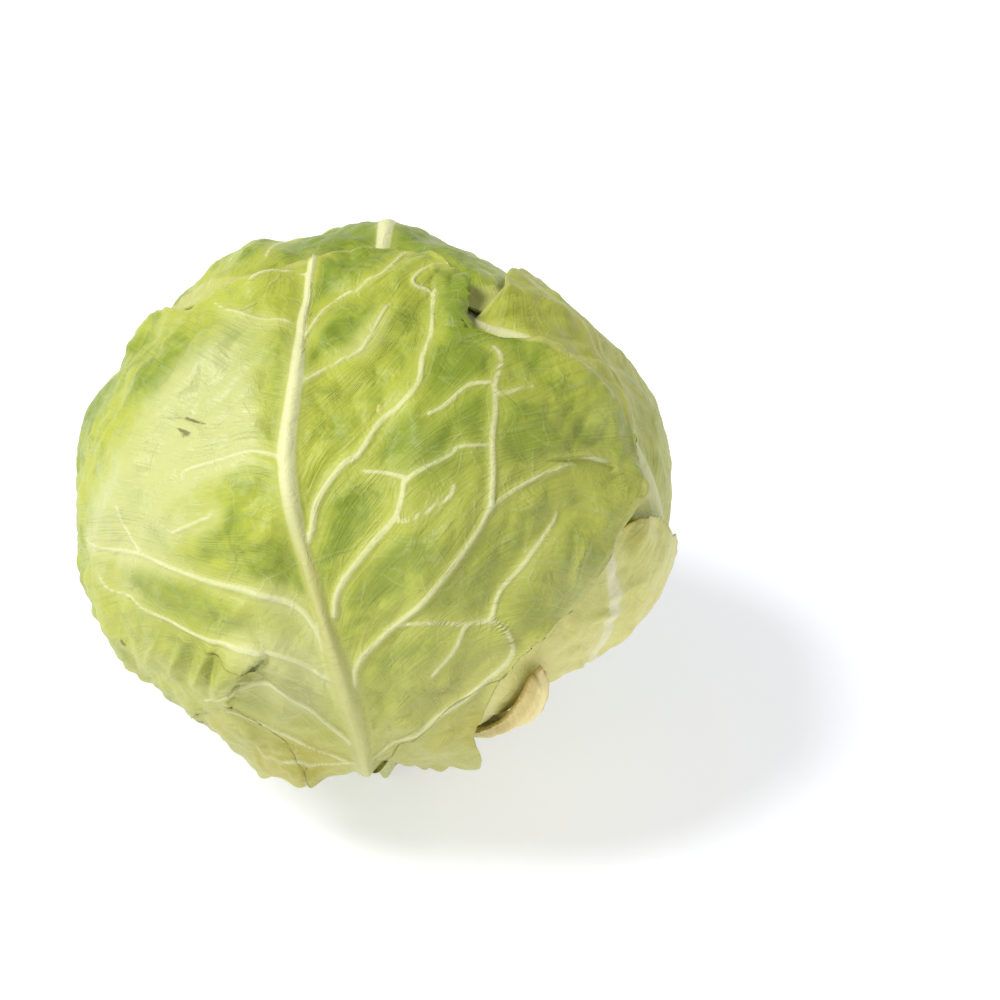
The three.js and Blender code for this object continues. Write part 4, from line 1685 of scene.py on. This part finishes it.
class Finishes(Enum):
    """The finishes of the head's pieces."""

    GREEN = LeafFinish(
        "leaf_green_wax",
        "leaf_green",
        mid=tone(180, 188, 70),
        deep=tone(128, 148, 40),
        pale=tone(204, 208, 142),
        vein=tone(224, 224, 170),
        warm=tone(182, 176, 72),
        edge=tone(202, 200, 118),
        rib=tone(186, 183, 106),
    )
    PALE = LeafFinish(
        "leaf_pale_wax",
        "leaf_pale",
        mid=tone(190, 192, 80),
        deep=tone(162, 170, 58),
        pale=tone(206, 208, 128),
        vein=tone(218, 218, 162),
        warm=tone(204, 190, 96),
        edge=tone(206, 204, 126),
        rib=tone(200, 199, 126),
    )
    YELLOWING = LeafFinish(
        "leaf_yellowing_wax",
        "leaf_yellowing",
        mid=tone(222, 217, 136),
        deep=tone(202, 200, 108),
        pale=tone(222, 220, 160),
        vein=tone(230, 226, 182),
        warm=tone(212, 196, 80),
        edge=tone(216, 202, 70),
        rib=tone(220, 218, 158),
    )
    PETIOLE = LeafFinish(
        "petiole_skin",
        "petiole",
        mid=tone(236, 218, 146),
        deep=tone(226, 204, 126),
        pale=tone(240, 226, 164),
        vein=tone(240, 226, 164),
        warm=tone(220, 176, 110),
        edge=tone(214, 184, 104),
        rib=tone(238, 222, 150),
        vein_strength=0.2,
    )
    HEART = LeafFinish(
        "heart_wax",
        "heart",
        mid=tone(208, 212, 138),
        deep=tone(190, 198, 116),
        pale=tone(224, 226, 170),
        vein=tone(230, 230, 184),
        warm=tone(208, 196, 120),
        edge=tone(208, 212, 138),
        rib=tone(208, 212, 138),
    )
    STEM = CutFinish()


@dataclass(frozen=True)
class Studio:
    """A plain pale floor, soft light from the upper left, and a camera that sees the head from the front."""

    floor_half: float = 6.0
    sun: float = 2.7
    sun_soft: float = 22.0
    sky: float = 0.48
    floor_glow: float = 0.52
    lens_frame: float = 36.0
    key_from: tuple[float, float] = (-72.0, 55.0)  # azimuth and rise of the key light
    floor_tone: Colour = (0.66, 0.67, 0.72)
    glow_tone: Colour = (0.94, 0.95, 1.0)

    def light(self) -> None:
        """Adds one large soft lamp and even light from all round."""
        lamp = bpy.data.lights.new("key", "SUN")
        lamp.energy, lamp.angle = self.sun, math.radians(self.sun_soft)
        key = bpy.data.objects.new("key", lamp)
        key.rotation_euler = Vector(toward(*self.key_from)).to_track_quat("Z", "Y").to_euler()
        bpy.context.scene.collection.objects.link(key)
        world = bpy.data.worlds.new("studio")
        world.use_nodes = True
        sky = next(n for n in world.node_tree.nodes if n.type == "BACKGROUND")
        sky.inputs["Color"].default_value = (1, 1, 1, 1)
        sky.inputs["Strength"].default_value = self.sky
        bpy.context.scene.world = world
        bpy.context.scene.view_settings.view_transform = "Standard"

    def lay_floor(self) -> None:
        """Adds the floor, at the level of the stem's cut face."""
        h = self.floor_half
        mesh = bpy.data.meshes.new("floor")
        mesh.from_pydata([(-h, -h, 0), (h, -h, 0), (h, h, 0), (-h, h, 0)], [], [(0, 1, 2, 3)])
        floor = bpy.data.objects.new("floor", mesh)
        bpy.context.scene.collection.objects.link(floor)
        paint = Shader("floor_white")
        paint.finish(Emission_Color=self.glow_tone, Emission_Strength=self.floor_glow)
        floor.data.materials.append(paint.finish(Base_Color=self.floor_tone, Roughness=0.8))

    def place_camera(self, view: View) -> None:
        """Points the camera so that the head's centre shows where the photograph has it.

        Args:
            view: where the photograph was taken from.
        """
        data = bpy.data.cameras.new("camera")
        data.sensor_width = self.lens_frame
        data.lens = self.lens_frame * view.far / (view.frame * view.pixel)
        camera = bpy.data.objects.new("camera", data)
        out, right = toward(0, view.rise), toward(90, 0)
        up = np.cross(out, right)
        eye = out * view.far + (0, 0, CENTRE_UP)
        middle = view.frame / 2
        aim = (middle - view.centre[0]) * view.pixel * right + (view.centre[1] - middle) * view.pixel * up
        ahead = aim - out * view.far
        camera.location = Vector(eye * METRES)
        camera.rotation_euler = Vector(ahead).to_track_quat("-Z", "Y").to_euler()
        bpy.context.scene.collection.objects.link(camera)
        bpy.context.scene.camera = camera


def head_leaves() -> list[Leaf]:
    """The wrapper leaves, from the inside out.

    Returns:
        The leaves.
    """
    pale, green = Finishes.PALE.value, Finishes.GREEN.value
    yellow, petiole = Finishes.YELLOWING.value, Finishes.PETIOLE.value
    return [
        Leaf("leaf_inner_left", pale, azimuth=-132, reach=125),
        Leaf("leaf_inner_right", pale, azimuth=128, reach=118, bend=-6),
        Leaf(
            "leaf_left", pale, azimuth=-84, reach=122, half_wide=92, bend=7,
            veins=(0.15, 0.25, 0.36, 0.47, 0.59, 0.72),
        ),
        Leaf(
            "leaf_back", green, azimuth=176, rise=5, reach=146, bend=-4, flare=1, tucked=(0.08, 0.12),
            tints=BACK_TINTS,
        ),
        Leaf("leaf_right", pale, azimuth=70, reach=124, half_wide=92, flare=0.8, tucked=(0.12, 0)),
        Leaf(
            "leaf_low_right", yellow, azimuth=50, rise=-20, reach=70, half_wide=50, base_half=8,
            rib_up=3, flare=0.8, waves=6, veins=(0.2, 0.38, 0.58), rows=141, columns=141, ragged=5,
            folds=LOW_RIGHT_FOLDS, tints=LOW_RIGHT_TINTS,
        ),
        Leaf(
            "leaf_stub", petiole, azimuth=30, rise=-35, reach=62, half_wide=6.5, base_half=5, bend=6,
            blade=4, rib_up=0.8, rib_half=3, flare=0, veins=(), rows=101, columns=41, puckers=0.2,
        ),
        FrontLeaf(
            "leaf_front", green, rise=35, last_row=1.0, flare=1, rib_up=4.5, rib_half=5, veins=(),
            rows=293, columns=289, puckers=0.48, ragged=1.8, drawn=FRONT_VEINS, folds=FRONT_FOLDS,
            scarps=FRONT_SCARPS, tints=FRONT_TINTS_AND_SHEEN, blemishes_and_shade=FRONT_BLEMISHES_AND_SHADE, stands=FRONT_STANDS,
        ),
    ]


class Dresser:
    """Dresses the pieces and makes each finish's material once."""

    def __init__(self) -> None:
        """Starts with no materials."""
        self.made: dict[LeafFinish | CutFinish, bpy.types.Material] = {}

    def dress(self, piece: bpy.types.Object, node: str, finish: LeafFinish | CutFinish) -> None:
        """Gives a piece its finish, hangs it on the root body and hides the node that it replaces.

        Args:
            piece: the piece.
            node: the node that it replaces.
            finish: its finish.
        """
        if finish not in self.made:
            self.made[finish] = finish.material()
        piece.data.materials.append(self.made[finish])
        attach(piece, "root")
        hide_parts(node)
        log.info("%s: %d faces", piece.name, len(piece.data.polygons))


def main() -> None:
    """Builds the head, its stem and the studio."""
    logging.basicConfig(level=logging.INFO, format="%(message)s")
    studio = Studio()
    head = Head(Heart(), head_leaves())
    studio.place_camera(head.view)
    studio.light()
    studio.lay_floor()
    dresser = Dresser()
    dresser.dress(head.heart.build(), "heart", Finishes.HEART.value)
    dresser.dress(Stem().build(), "stem", Finishes.STEM.value)
    for leaf in head.leaves:
        dresser.dress(leaf.build(), leaf.node, leaf.finish)


if __name__ == "__main__":
    main()
